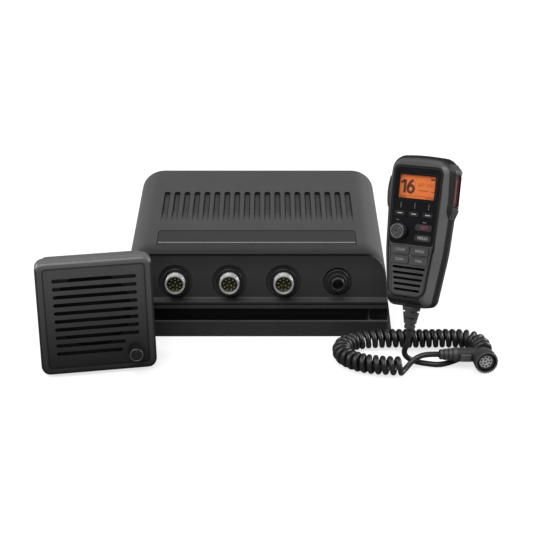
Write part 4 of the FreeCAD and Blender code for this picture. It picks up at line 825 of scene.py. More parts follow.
def bridge(form: Form, loops: list[list[bmesh.types.BMVert]]) -> None:
    """Joins closed loops of vertices with quads, each loop to the next.

    Args:
        form: the bmesh.
        loops: the loops in order.
    """
    for here, ahead in zip(loops, loops[1:]):
        for i in range(len(here)):
            j = (i + 1) % len(here)
            form.faces.new((here[i], here[j], ahead[j], ahead[i]))


def raise_plate(
    form: Form, outline: Sequence[Pair], low: float, high: float,
    bevel: float = 0.0, at: Pair = (0.0, 0.0),
) -> None:
    """Adds a closed plate with a flat outline in XY.

    Args:
        form: the bmesh.
        outline: its outline, anticlockwise.
        low: the bottom's z.
        high: the top's z.
        bevel: how far the top edge is drawn in.
        at: where its middle is.
    """
    rings = [(low, 0.0), (high - bevel, 0.0)] + ([(high, bevel)] if bevel else [])
    loops = []
    for z, draw_in in rings:
        ring = []
        for x, y in outline:
            keep = 1.0 - draw_in / (math.hypot(x, y) or 1.0)
            ring.append(form.verts.new((x * keep + at[0], y * keep + at[1], z)))
        loops.append(ring)
    form.faces.new(loops[0][::-1])
    bridge(form, loops)
    form.faces.new(loops[-1])


def plate_of(*plate: object) -> Build:
    """Returns what adds one plate to a bmesh, by what raise_plate says after the bmesh."""
    return lambda form: raise_plate(form, *plate)


def raise_frame(
    form: Form, half_width: float, half_height: float, corner: float, width: float, high: float
) -> None:
    """Adds a thin closed frame in XY, standing up from the XY plane.

    Args:
        form: the bmesh.
        half_width: half the width of its opening.
        half_height: half the height of its opening.
        corner: the opening's corner radius.
        width: how wide its border is.
        high: how far it stands up.
    """
    inner = rounded_outline(half_width, half_height, corner)
    outer = rounded_outline(half_width + width, half_height + width, corner + width)
    section = ((inner, 0), (outer, 0), (outer, high), (inner, high))
    loops = [[form.verts.new((x, y, z)) for x, y in line] for line, z in section]
    bridge(form, [*loops, loops[0]])


def turn_profile(form: Form, profile: Sequence[Pair], steps: int) -> None:
    """Turns a closed section round the Z axis.

    Args:
        form: the bmesh.
        profile: the section's (radius, height) points in order.
        steps: how many segments it has.
    """
    rings = []
    for i in range(steps):
        angle = 2 * math.pi * i / steps
        cosine, sine = math.cos(angle), math.sin(angle)
        rings.append([form.verts.new((r * cosine, r * sine, z)) for r, z in profile])
    for here, ahead in zip(rings, rings[1:] + rings[:1]):
        for j in range(len(profile)):
            k = (j + 1) % len(profile)
            form.faces.new((here[j], ahead[j], ahead[k], here[k]))


# a ring's section, as shares of its half width and its height
RING_CROWN = (
    (-1.0, -0.33), (-0.8, 0.45), (-0.35, 0.92), (0.0, 1.0), (0.35, 0.92), (0.8, 0.45), (1.0, -0.33)
)


def turn_ring(form: Form, radius: float, half_width: float, height: float, steps: int) -> None:
    """Adds a ring with a round top, which reaches a third of its height below the XY plane."""
    turn_profile(form, [(radius + x * half_width, z * height) for x, z in RING_CROWN], steps)


def ribbon(form: Form, points: Sequence[Pair], width: float, high: float) -> None:
    """Adds a flat stroke of even width along a line in XY.

    Args:
        form: the bmesh.
        points: the line's points.
        width: the stroke's width.
        high: its thickness.
    """
    rails = []
    for i, (x, y) in enumerate(points):
        before, after = points[max(i - 1, 0)], points[min(i + 1, len(points) - 1)]
        run = Vector((after[0] - before[0], after[1] - before[1])).normalized() * (width / 2)
        ends = ((x - run.y, y + run.x), (x + run.y, y - run.x))
        rails.append([form.verts.new((ex, ey, z)) for z in (0.0, high) for ex, ey in ends])
    for a, b in zip(rails, rails[1:]):
        for i, j in ((0, 1), (3, 2), (2, 0), (1, 3)):
            form.faces.new((a[i], a[j], b[j], b[i]))
    for end in (rails[0], rails[-1]):
        form.faces.new((end[0], end[1], end[3], end[2]))


INK_THICK = 0.00004


def channel_digits(form: Form) -> None:
    """Adds the display's channel number, drawn about its middle.

    Args:
        form: the bmesh.
    """
    size, bold = 0.0124, 0.0028
    arc = (math.pi - i * math.pi / 9 for i in range(19))
    bowl = [(0.80 + 0.23 * math.cos(a), 0.31 + 0.25 * math.sin(a)) for a in arc]
    strokes = (
        ([(0.34, 0.0), (0.34, 0.92)], bold),
        ([(0.02, 0.70), (0.34, 0.92)], bold * 0.8),
        ([(0.97, 0.90), (0.84, 0.87), (0.70, 0.72), (0.60, 0.52), *bowl], bold * 0.92),
    )
    for stroke, width in strokes:
        ribbon(form, [((x - 0.52) * size, (y - 0.46) * size) for x, y in stroke], width, INK_THICK)


def lettering(text: str, height: float, place: Matrix, bold: float) -> Mesh:
    """A generic word or number as a thin raised mesh.

    Args:
        text: what it says.
        height: the height of its capitals, in metres.
        place: where its middle goes.
        bold: how far each stroke grows, as a share of the height.

    Returns:
        The mesh.
    """
    words = bpy.data.curves.new("lettering", "FONT")
    words.body = text
    words.align_x = "CENTER"
    words.align_y = "CENTER"
    words.size = height / 0.70
    words.extrude = INK_THICK / 2
    words.offset = height * bold
    words.resolution_u = 3
    mesh = plain_mesh(words)
    mesh.transform(place)
    return mesh


def placed(name: str, data: object) -> bpy.types.Object:
    """Adds an object to the scene.

    Args:
        name: its name.
        data: its mesh, curve, light or camera.

    Returns:
        The object.
    """
    thing = bpy.data.objects.new(name, data)
    bpy.context.scene.collection.objects.link(thing)
    return thing


def plain_mesh(
    data: object, nodes: Optional["RepeatTree"] = None, sizes: Optional[dict[str, float]] = None
) -> Mesh:
    """Turns a curve, or what a Geometry Nodes tree makes of a mesh, into one plain mesh.

    Args:
        data: the curve or mesh.
        nodes: the tree to run on it.
        sizes: values for the tree's named inputs.

    Returns:
        The mesh.
    """
    holder = placed("holder", data)
    if nodes is not None:
        modifier = holder.modifiers.new("repeat", "NODES")
        modifier.node_group = nodes.tree
        for label, value in sizes.items():
            modifier[nodes.keys[label]] = value
    depsgraph = bpy.context.evaluated_depsgraph_get()
    mesh = bpy.data.meshes.new_from_object(holder.evaluated_get(depsgraph))
    bpy.data.objects.remove(holder)
    return mesh


# ---------------------------------------------------------------- repeats by Geometry Nodes
class RepeatTree(NodeDraft):
    """A Geometry Nodes tree with named sizes that ends as one plain mesh."""

    def __init__(self, name: str, sizes: dict[str, float], seeded: bool = False) -> None:
        """Starts the tree and its inputs.

        Args:
            name: the tree's name.
            sizes: the default of each named input; whole numbers become integer inputs.
            seeded: whether it takes a mesh of seed points, as its input "Seeds".
        """
        super().__init__(bpy.data.node_groups.new(name, "GeometryNodeTree"))
        face = self.tree.interface
        face.new_socket("Geometry", in_out="OUTPUT", socket_type="NodeSocketGeometry")
        if seeded:
            face.new_socket("Seeds", in_out="INPUT", socket_type="NodeSocketGeometry")
        self.keys = {}
        for label, value in sizes.items():
            kind = "NodeSocketInt" if isinstance(value, int) else "NodeSocketFloat"
            item = face.new_socket(label, in_out="INPUT", socket_type=kind)
            item.default_value = value
            self.keys[label] = item.identifier
        self.inputs = self.tree.nodes.new("NodeGroupInput").outputs

    def size(self, *labels: str) -> list[Wire]:
        """Returns named inputs in order."""
        return [Wire(self, self.inputs[label]) for label in labels]

    def vector(self, **axes: Number) -> Wire:
        """Returns a vector with those of its X, Y and Z set."""
        return self.add("ShaderNodeCombineXYZ", **axes)

    def rod(self, radius: Wire, depth: Wire, sides: int) -> Wire:
        """Returns a closed cylinder along Z."""
        values = {"fill_type": "NGON", "Vertices": sides, "Radius": radius, "Depth": depth}
        return self.add("GeometryNodeMeshCylinder", **values)

    def finish(self, geometry: Wire, material: Material) -> "RepeatTree":
        """Closes the tree with real geometry in one material.

        Args:
            geometry: the instances or mesh.
            material: its material.

        Returns:
            The tree itself.
        """
        real = self.add("GeometryNodeRealizeInstances", geometry)
        dressed = self.add("GeometryNodeSetMaterial", real, Material=material)
        self.end("NodeGroupOutput", dressed)
        return self

    def grow(self, sizes: dict, place: Matrix, seeds: Iterable[Point] = ()) -> Mesh:
        """Runs the tree once.

        Args:
            sizes: values for the named inputs.
            place: where the result goes.
            seeds: the points that a seeded tree repeats on.

        Returns:
            A plain mesh.
        """
        points = bpy.data.meshes.new("seed")
        points.from_pydata([tuple(seed) for seed in seeds], [], [])
        mesh = plain_mesh(points, self, sizes)
        mesh.transform(place)
        return mesh


def thread_tree(material: Material) -> RepeatTree:
    """A screw thread: one spiral ridge round the Z axis.

    Args:
        material: its material.

    Returns:
        The tree.
    """
    sizes = {"Radius": 0.009, "Length": 0.008, "Turns": 8.0, "Ridge": 0.0004}
    tree = RepeatTree("screw_thread", sizes)
    radius, length, turns, ridge = tree.size(*sizes)
    spiral = tree.add(
        "GeometryNodeCurveSpiral",
        Resolution=48, Rotations=turns, Start_Radius=radius, End_Radius=radius, Height=length,
    )
    wire = tree.add("GeometryNodeCurvePrimitiveCircle", mode="RADIUS", Resolution=6, Radius=ridge)
    swept = tree.add("GeometryNodeCurveToMesh", spiral, wire, Fill_Caps=True)
    return tree.finish(swept, material)


def rib_ring_tree(material: Material) -> RepeatTree:
    """Ribs side by side round the Z axis, as on a grip.

    Args:
        material: their material.

    Returns:
        The tree.
    """
    sizes = {"Count": 24, "Radius": 0.010, "Length": 0.006, "Rib": 0.0005, "Middle": 0.005}
    tree = RepeatTree("rib_ring", sizes)
    count, radius, length, rib, middle = tree.size(*sizes)
    ring = tree.add("GeometryNodeMeshCircle", fill_type="NONE", Vertices=count, Radius=radius)
    rod = tree.rod(rib, length, 6)
    ribs = tree.add("GeometryNodeInstanceOnPoints", Points=ring, Instance=rod)
    lift = tree.vector(Z=middle)
    moved = tree.add("GeometryNodeTranslateInstances", Instances=ribs, Translation=lift)
    return tree.finish(moved, material)


def rib_row_tree(material: Material) -> RepeatTree:
    """Round ribs in a row along Z, each lying along Y, as on a thumb grip.

    Args:
        material: their material.

    Returns:
        The tree.
    """
    sizes = {"Count": 7, "Pitch": 0.003, "Length": 0.006, "Rib": 0.0005}
    tree = RepeatTree("rib_row", sizes)
    count, pitch, length, rib = tree.size(*sizes)
    row = tree.add("GeometryNodeMeshLine", mode="OFFSET", Count=count, Offset=tree.vector(Z=pitch))
    rod = tree.rod(rib, length, 10)
    lying = (math.pi / 2, 0.0, 0.0)
    ribs = tree.add("GeometryNodeInstanceOnPoints", Points=row, Instance=rod, Rotation=lying)
    return tree.finish(ribs, material)


def screw_tree(material: Material) -> RepeatTree:
    """Pan-head screws with a cross recess: each head's top is at a seed, its shank to -Z.

    Args:
        material: their material.

    Returns:
        The tree.
    """
    sizes = {"Head": 0.0032, "Height": 0.0021, "Shank": 0.0015, "Length": 0.026, "Drive": 0.0019}
    tree = RepeatTree("pan_screws", sizes, seeded=True)
    head, height, shank, length, drive = tree.size(*sizes)
    half = height * 0.5
    dome = tree.add(
        "GeometryNodeMeshCone",
        fill_type="NGON", Vertices=32, Radius_Top=head * 0.66, Radius_Bottom=head, Depth=half,
    )
    parts = (
        (dome, half * -1.0),
        (tree.rod(head, half, 32), half * -1.5),
        (tree.rod(shank, length, 20), length * -0.5 - half * 1.8),
    )
    solids = [
        tree.add("GeometryNodeTransform", Geometry=part, Translation=tree.vector(Z=low))
        for part, low in parts
    ]
    bars = []
    for turn in (0.0, math.pi / 2):
        bar = tree.add(
            "GeometryNodeMeshCube", Size=tree.vector(X=drive * 2.0, Y=drive * 0.42, Z=height * 1.1)
        )
        bars.append(tree.add("GeometryNodeTransform", Geometry=bar, Rotation=(0.0, 0.0, turn)))
    body = tree.add("GeometryNodeMeshBoolean", operation="UNION", Mesh_2=solids)
    cut = tree.add("GeometryNodeMeshBoolean", operation="DIFFERENCE", Mesh_1=body, Mesh_2=bars)
    seeds = tree.size("Seeds")[0]
    screws = tree.add("GeometryNodeInstanceOnPoints", Points=seeds, Instance=cut)
    return tree.finish(screws, material)


# ---------------------------------------------------------------- workshop
class Workshop:
    """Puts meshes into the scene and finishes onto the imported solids."""

    def __init__(self, nodes: dict[str, bpy.types.Object]) -> None:
        """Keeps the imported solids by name."""
        self.nodes = nodes
        self._made: dict[str, Material] = {}

    def finish(self, finish: Finish) -> Material:
        """Makes a finish once and returns its material after that.

        Args:
            finish: the finish.

        Returns:
            Its material.
        """
        if finish.name not in self._made:
            self._made[finish.name] = finish.make()
        return self._made[finish.name]

    def dress(self, *looks: tuple) -> None:
        """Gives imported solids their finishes.

        Args:
            *looks: tuples of a finish and the names of its solids.
        """
        for finish, *names in looks:
            material = self.finish(finish)
            for name in names:
                solid = self.nodes[name]
                if not solid.material_slots:
                    solid.data.materials.append(material)
                for slot in solid.material_slots:
                    slot.material = material
                LOG.info("dressed %s in %s", name, finish.name)

    def put(self, name: str, mesh: Mesh, finish: Finish, body: str, slot: Slot) -> bpy.types.Object:
        """Adds a mesh piece to the scene.

        Args:
            name: the piece's name.
            mesh: its mesh, already in place.
            finish: its finish.
            body: the body it rides on.
            slot: the record's slot for the piece; not used.

        Returns:
            The new object.
        """
        piece = placed(name, mesh)
        mesh.materials.clear()
        mesh.materials.append(self.finish(finish))
        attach(piece, body)
        LOG.info("made %s, %d faces, on %s", name, len(mesh.polygons), body)
        return piece

    def mould(
        self, name: str, build: Build, place: Matrix, finish: Finish, body: str, slot: Slot
    ) -> None:
        """Draws a piece and adds it to the scene, by what draw and put say."""
        self.put(name, draw(build, place, name), finish, body, slot)

    def drive_screws(
        self, unit: str, place: Matrix, back: float, spots: Sequence[Pair], sizes: dict[str, float]
    ) -> None:
        """Drives cross-recess screws into a unit's back, instead of its plain ones.

        Args:
            unit: the unit, as the nodes' names begin.
            place: the unit's place.
            back: how far behind its origin the heads' tops are.
            spots: (aside, up) of the screws on each side.
            sizes: the screws' sizes.
        """
        facing = place @ Matrix.Translation((0.0, back, 0.0)) @ FACING_BACK
        seeds = [(side * x, -z, 0.0) for side in (-1, 1) for x, z in spots]
        mesh = screw_tree(self.finish(STAINLESS)).grow(sizes, facing, seeds)
        piece = self.put(f"{unit}_cross_screws", mesh, STAINLESS, "radio", Slot.STEEL)
        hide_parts(f"{unit}_screws")


# ---------------------------------------------------------------- transceiver
@dataclass
class Transceiver:
    """The black-box unit: tray, cover, sockets and the bare label strip."""

    shop: Workshop
    socket_xs: tuple[float, ...] = (-75.0, -25.0, 25.0)
    network_x: float = 75.0
    barrel_radius: float = 0.0091
    barrel_proud: float = 0.012
    thread_start: float = 0.0026
    thread_end: float = 0.0012
    thread_ridge: float = 0.00022
    strip_middle: Pair = (0.0, -0.05015)
    strip_half: Pair = (0.0929, 0.01705)
    strip_corner: float = 0.0034
    strip_base: float = 0.0731
    line_y: float = -0.0575
    network_tube: tuple[Pair, ...] = (
        (0.0048, 0.0014), (0.0060, 0.0014), (0.0060, 0.0112),
        (0.0057, 0.0115), (0.0051, 0.0115), (0.0048, 0.0112),
    )
    satin: TurnedMetal = TurnedMetal(
        "satin nickel", (0.36, 0.36, 0.355), socket_place(0.0), 0.42, metal=0.55, haze=0.12
    )

    def dress(self) -> None:
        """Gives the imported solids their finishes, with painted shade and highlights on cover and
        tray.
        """
        panel = socket_place(0.0)
        # painted shade on the walls of the cover's grooves
        grooves = GrooveOutline(
            0.25, (-94.0, -17.5, 60.0), (94.0, 57.5, FAR), 0.25,
            middle=20.05, half_run=31.25, line=1.1,
        )
        cover_painted_light = (
            grooves,
            # painted shade in the label pocket's edge
            Shade(0.35, (-94.0, -68.2, 72.6), (94.0, -32.1, 73.35), 0.25),
            # painted shade, darker towards the top's near edge
            Shade(0.50, high=(FAR, -74.0, FAR), soft=30.0),
            Shade(0.62, (-FAR, -FAR, 64.0), (FAR, -66.0, FAR), 18.0),
            # painted highlights on the right and left shoulders
            Shade(1.35, (104.0, -72.0, 30.0), soft=6.0),
            Shade(1.20, (-FAR, -72.0, 30.0), (-104.0, FAR, FAR), 6.0),
            # painted shadow under the panel's brow
            Shade(0.30, (-FAR, 24.4, -1.6), (FAR, 26.9, FAR), 0.5, panel),
            # the connector panel painted paler, as light
            Shade(1.25, (-FAR, -FAR, -0.7), (FAR, 24.0, FAR), 0.8, panel),
            # painted shadow line at the cover's foot
            Shade(0.25, (-FAR, -FAR, 26.0), (FAR, -88.0, 27.2), 0.5),
        )
        tray_painted_light = (
            # painted shadow in the front trough
            Shade(0.05, (-104.0, -102.0, 2.4), (104.0, -91.2, 22.1), 0.8),
            # painted highlights on the lip's rim and the flange's front
            Shade(2.0, (-FAR, -FAR, 14.4), (FAR, -101.8, 15.5), 0.4),
            Shade(1.9, (-FAR, -94.0, 22.6), (FAR, -92.2, 26.6), 0.4),
        )
        coat = MouldedPlastic(
            "cover charcoal", grey(0.031), 0.43, depth=0.000022, shades=cover_painted_light
        )
        tray = MouldedPlastic("tray charcoal", grey(0.017), 0.46, gloss=0.30, shades=tray_painted_light)
        seal = SoftRubber("seal rubber", (0.004, 0.004, 0.004), 0.36, gloss=0.30)
        insert = MouldedPlastic("insert plastic", (0.014, 0.014, 0.010), 0.5)
        rear = tilted((0.0, 0.0, 49.0), (90.0, "X"))
        self.shop.dress(
            (coat, "top_cover"),
            (tray, "base_tray"),
            (SoftRubber("gasket rubber", (0.006, 0.006, 0.006), 0.6), "cover_gasket"),
            (seal, "accessory_socket_seats"),
            (BLACK_NYLON, "network_socket_barrel", "network_socket_insert", "power_socket"),
            (insert, "accessory_socket_inserts"),
            (self.satin, "accessory_socket_barrels"),
            (TurnedMetal("gold contact", (0.42, 0.40, 0.16), panel, 0.38), "accessory_socket_pins"),
            (TurnedMetal("bright nickel", (0.70, 0.69, 0.66), rear, 0.24), "antenna_socket"),
            (STAINLESS, "cover_screws"),
            (CastMetal("bare aluminium", (0.66, 0.67, 0.68), 0.45), "heat_sink"),
            (SOLDER_RESIST, "main_board"),
            (CastMetal("tinned steel", (0.72, 0.72, 0.70), 0.38), "radio_shield_can"),
        )

    def threads(self) -> None:
        """Cuts the look of a screw thread round each accessory barrel."""
        tree = thread_tree(self.shop.finish(self.satin))
        sizes = {
            "Radius": self.barrel_radius,
            "Length": self.barrel_proud - self.thread_start - self.thread_end,
            "Turns": 11.0,
            "Ridge": self.thread_ridge,
        }
        for number, x in enumerate(self.socket_xs, 1):
            place = socket_place(x) @ Matrix.Translation((0, 0, self.thread_start))
            mesh = tree.grow(sizes, place)
            self.shop.put(f"accessory_thread_{number}", mesh, self.satin, "radio", Slot.METAL)

    def network_socket(self) -> None:
        """Puts a thread, a tube and a seat ring on the network socket."""
        place = socket_place(self.network_x)
        sizes = {"Radius": 0.0060, "Length": 0.0046, "Turns": 5.0, "Ridge": 0.00028}
        tree = thread_tree(self.shop.finish(BLACK_NYLON))
        mesh = tree.grow(sizes, place @ Matrix.Translation((0, 0, 0.0062)))
        self.shop.put("network_thread", mesh, BLACK_NYLON, "radio", Slot.METAL)
        for name, build in (
            ("network_tube", lambda form: turn_profile(form, self.network_tube, 64)),
            ("network_seat_ring", lambda form: turn_ring(form, 0.0105, 0.0006, 0.0006, 72)),
        ):
            self.shop.mould(name, build, place, BLACK_NYLON, "radio", Slot.METAL)

    def label_strip(self) -> None:
        """Lays the bare film in the cover's shallow pocket, with its one fine line."""
        base = self.strip_base
        film = rounded_outline(*self.strip_half, self.strip_corner)
        line = rounded_outline(self.strip_half[0] - 0.0006, 0.00042, 0.0002, 2)
        satin = MouldedPlastic("label film", grey(0.014), 0.36, grain=0.0006, depth=0.000006)
        rule = (line, base + 0.0002, base + 0.00028, 0.0, (0.0, self.line_y))
        for name, finish, plate in (
            ("label_film", satin, (film, base, base + 0.00022, 0.00008, self.strip_middle)),
            ("label_line", Ink.PALE.value, rule),
        ):
            self.shop.mould(name, plate_of(*plate), ROW_FRAME, finish, "radio", Slot.COVER)

    def build(self) -> None:
        """Makes the whole unit."""
        self.dress()
        self.threads()
        self.network_socket()
        self.label_strip()


# ---------------------------------------------------------------- loudspeaker
@dataclass
class Loudspeaker:
    """The square loudspeaker with its slotted grille and volume knob."""

    shop: Workshop
    knob_at: Point = (0.032, -0.0179, 0.0192)
    knob_radius: float = 0.0061
    back: float = 0.0372
    screw_spots: tuple[Pair, ...] = ((0.040, 0.011), (0.040, 0.093))
    screw_length: float = 0.0264

    def dress(self) -> None:
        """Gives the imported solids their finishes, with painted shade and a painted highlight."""
        there = SPEAKER_PLACE
        # painted shade, darker towards the bottom
        painted_falloff, darker_painted_falloff = (
            Shade(gain, high=(FAR, FAR, 46.0), soft=118.0, place=there) for gain in (0.18, 0.0)
        )
        # painted shade on the walls of the grille's slots
        slot_shadow = Shade(0.03, low=(-FAR, 0.7, -FAR), soft=0.2, place=there)
        # painted shadow line in the gap round the grille
        grille_gap_shadow = TaperOutline(
            0.40, high=(FAR, 6.0, FAR), soft=1.0, place=there,
            foot=(44.0, 7.0), head=(44.0, 97.0), corner=3.0, reach=0.3, line=1.1,
        )
        # painted shade round the bezel's outer rim
        rim = TaperOutline(
            0.30, high=(FAR, 10.0, 97.0), soft=2.0, place=there,
            foot=(51.0, 0.0), head=(51.0, 104.0), corner=8.0, reach=-0.4, line=3.4,
        )
        # painted highlight along the top
        crown_highlight = Shade(1.35, (-50.0, -FAR, 97.6), (50.0, 6.0, FAR), 2.0, there)
        # painted shadow inside the housing
        inside = Shade(0.05, (-45.0, 5.6, 6.0), (45.0, 34.6, 98.0), 0.3, there)
        painted_light_boxes = (painted_falloff, grille_gap_shadow, rim, crown_highlight, inside)
        shell = MouldedPlastic("speaker shell", grey(0.060), 0.36, gloss=0.40, shades=painted_light_boxes)
        painted_light_boxes = (darker_painted_falloff, slot_shadow, grille_gap_shadow)
        grille = MouldedPlastic("grille plastic", grey(0.056), 0.38, gloss=0.40, shades=painted_light_boxes)
        self.shop.dress(
            (shell, "speaker_bezel", "speaker_housing"),
            (grille, "speaker_grille"),
            (MouldedPlastic("knob plastic", grey(0.005), 0.34, gloss=0.3), "volume_knob"),
            (ZINC, "volume_control"),
            (SoftRubber("black enamel", (0.003, 0.003, 0.003), 0.6, gloss=0.06), "driver_frame"),
            (PressedPaper("pulp cone"), "driver_cone"),
            (SoftRubber("ferrite", grey(0.02), 0.7, 0.0008), "driver_magnet"),
            (SOLDER_RESIST, "amplifier_board"),
            (SoftRubber("gland rubber", (0.008, 0.008, 0.008), 0.5), "speaker_cable_gland"),
        )

    def knob_ring(self) -> None:
        """Raises the ring, paler as a painted highlight, and the pointer on the volume knob's cap.
        """

        def ring(form: Form) -> None:
            """Adds the rim ring and a pointer."""
            turn_ring(form, self.knob_radius - 0.0008, 0.0004, 0.0003, 56)
            ribbon(form, [(0.0, 0.0026), (0.0, 0.0048)], 0.0006, 0.0002)

        place = stood(SPEAKER_PLACE, *self.knob_at)
        # paler than the knob: a painted highlight on the ring, and the pointer's mark
        finish = MouldedPlastic("knob ring plastic", (0.05, 0.05, 0.05), 0.3)
        self.shop.mould("volume_knob_ring", ring, place, finish, "volume_knob", Slot.KNOB)

    def build(self) -> None:
        """Makes the whole unit."""
        self.dress()
        self.knob_ring()
        sizes = {"Length": self.screw_length}
        self.shop.drive_screws("speaker", SPEAKER_PLACE, self.back, self.screw_spots, sizes)


# ---------------------------------------------------------------- handset
class KeyMark(Enum):
    """What is printed on each key: short generic words and numbers."""

    priority_key = ("16/9", 0.0031, Ink.RED)
    power_level_key = ("HI/LO", 0.0026, Ink.PALE)
    pad_key_upper_left = ("CLEAR", 0.0022, Ink.SOFT)
    pad_key_upper_right = ("MENU", 0.0022, Ink.SOFT)
    pad_key_lower_left = ("SCAN", 0.0022, Ink.SOFT)
    pad_key_lower_right = ("HAIL", 0.0022, Ink.SOFT)


@dataclass
class Handset:
    """The fist handset: shells, display, keys, selector and side controls."""

    shop: Workshop
    front: float = -0.014
    module: float = -0.00222
    key_proud: float = 0.0007
    print_lift: float = 0.00001
    bar_thick: float = 0.00005
    display: Pair = (0.0, 0.1048)
    window: Pair = (0.0354, 0.0208)
    soft_keys: dict[str, float] = field(
        default_factory=lambda: {
            "soft_key_left": -0.0135, "soft_key_centre": 0.0, "soft_key_right": 0.0135
        }
    )
    soft_key_z: float = 0.0812
    tick_z: float = 0.0884
    key_places: dict[str, Pair] = field(
        default_factory=lambda: {
            "priority_key": (0.0108, 0.0702),
            "power_level_key": (0.0108, 0.0610),
            "pad_key_upper_left": (-0.0094, 0.0494),
            "pad_key_upper_right": (0.0094, 0.0494),
            "pad_key_lower_left": (-0.0094, 0.0409),
            "pad_key_lower_right": (0.0094, 0.0409),
        }
    )
    side_stops: tuple[Pair, ...] = (
        (70.0, 29.3), (88.0, 30.2), (96.0, 30.4), (104.0, 30.35), (112.0, 30.05),
        (118.0, 29.76), (122.0, 29.37), (124.0, 28.6), (126.0, 28.0), (128.0, 26.6),
    )
    fairing_crest: float = 32.55
    fairing_wall: float = 1.6
    back: float = 0.0137
    screw_spots: tuple[Pair, ...] = ((0.020, 0.121), (0.0186, 0.024))
    screw_sizes: dict[str, float] = field(
        default_factory=lambda: {
            "Head": 0.0022, "Height": 0.0015, "Shank": 0.0011, "Length": 0.0100, "Drive": 0.0013
        }
    )

    def on_front(self, x: float, z: float, lift: float) -> Matrix:
        """Returns a drawing's place on the front, lifted in front of the face, in metres."""
        return stood(HANDSET_PLACE, x, self.front - lift, z)

    def dress(self) -> None:
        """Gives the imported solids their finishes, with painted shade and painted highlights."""
        there = HANDSET_PLACE
        shades = (
            # painted shade on the shell's sides
            Shade(0.10, low=(-FAR, -6.4, -FAR), soft=0.8, place=there),
            # painted shade on the chin
            Shade(0.26, (-19.0, -FAR, -FAR), (14.0, -9.0, 9.4), 1.6, there),
            # painted highlights on the right bevel and along the top
            Shade(2.1, (6.0, -13.5, 4.0), (FAR, -6.4, 124.0), 0.9, there),
            Shade(1.5, (-FAR, -FAR, 122.5), (FAR, -10.0, FAR), 2.5, there),
            # painted shade along the top edge
            Shade(0.25, (-FAR, -9.5, 122.0), (FAR, FAR, FAR), 2.5, there),
            # the face's lower left painted paler, as light
            Shade(1.5, (-FAR, -FAR, 8.0), (-4.0, -13.5, 56.0), 22.0, there),
            # painted shade lines round the raised rim and round the panel
            TaperOutline(
                0.16, high=(FAR, -12.6, 56.0), soft=0.6, place=there,
                foot=(15.4, 10.6), head=(21.0, 62.0), corner=6.0, reach=1.7, line=1.5,
            ),
            TaperOutline(
                0.16, (-FAR, -FAR, 50.0), (FAR, -12.6, FAR), 0.6, there,
                foot=(20.6, 40.0), head=(22.6, 121.5), corner=5.0, reach=1.0, line=1.7,
            ),
            # painted shade inside the front slots
            Shade(0.06, (-16.0, -13.2, 11.0), (16.0, -11.0, 36.0), 0.4, there),
        )
        red_shades = (
            # painted shade on the red cover's margins and back part, and a painted highlight stripe
            Shade(0.12, high=(FAR, -4.2, FAR), soft=0.4, place=there),
            Shade(0.42, (-FAR, -0.6, -FAR), soft=0.8, place=there),
            Shade(8.0, (-FAR, -1.7, 94.0), (FAR, -0.9, 114.0), 0.3, there),
        )
        shell = MouldedPlastic(
            "handset shell", grey(0.034), 0.36, 0.0004, gloss=0.42, shades=shades
        )
        side_rubber = SoftRubber("side key rubber", grey(0.010), 0.46, gloss=0.3)
        red = MouldedPlastic("red cover", (0.034, 0.004, 0.008), 0.36, gloss=0.2, shades=red_shades)
        half = (self.window[0] / 2, self.window[1] / 2)
        # near black, as painted shade seen through the front slots
        slot_shadow_black = SoftRubber("driver felt", (0.0025, 0.0025, 0.0025), 0.8, 0.0006, gloss=0.05)
        pads = (name for name in self.key_places if name.startswith("pad"))
        self.shop.dress(
            (shell, "handset_front_shell"),
            (HANDSET_BACK, "handset_rear_shell", "hang_stud"),
            (GLOSS_BLACK, "front_panel"),
            (ClearWindow("clear window"), "display_lens"),
            (BacklitScreen("amber screen", there, self.display, half), "display_module"),
            (SoftRubber("gloss key rubber", grey(0.008), 0.40, gloss=0.2), *self.soft_keys),
            (side_rubber, "priority_key", "power_level_key"),
            (SoftRubber("key rubber", grey(0.026), 0.46), *pads),
            (MouldedPlastic("selector plastic", grey(0.024), 0.34), "selector_knob"),
            (CastMetal("nickel steel", (0.5, 0.5, 0.49), 0.35), "selector_shaft", "microphone"),
            (ZINC, "selector_encoder"),
            (TALK_RUBBER, "talk_key"),
            (red, "distress_cover"),
            (MouldedPlastic("red button", (0.30, 0.012, 0.014), 0.35), "distress_button"),
            (SoftRubber("membrane", (0.10, 0.10, 0.10), 0.6), "keypad_membrane"),
            (SOLDER_RESIST, "handset_board"),
            (slot_shadow_black, "voice_driver"),
            (BOOT_RUBBER, "cord_boot"),
        )

    def bar(
        self, name: str, x: float, z: float, size: Pair, ink: Ink, slot: Slot, lift: float,
        body: str = "radio",
    ) -> None:
        """Prints one small bar on the front.

        Args:
            name: the piece's name.
            x: its middle across the handset.
            z: its middle up the handset.
            size: its width and height.
            ink: its ink.
            slot: its slot.
            lift: how far in front of the face it lies.
            body: the body it rides on.
        """
        outline = rounded_outline(size[0] / 2, size[1] / 2, min(size) * 0.3, 2)
        plate = plate_of(outline, 0.0, self.bar_thick)
        self.shop.mould(name, plate, self.on_front(x, z, lift), ink.value, body, slot)

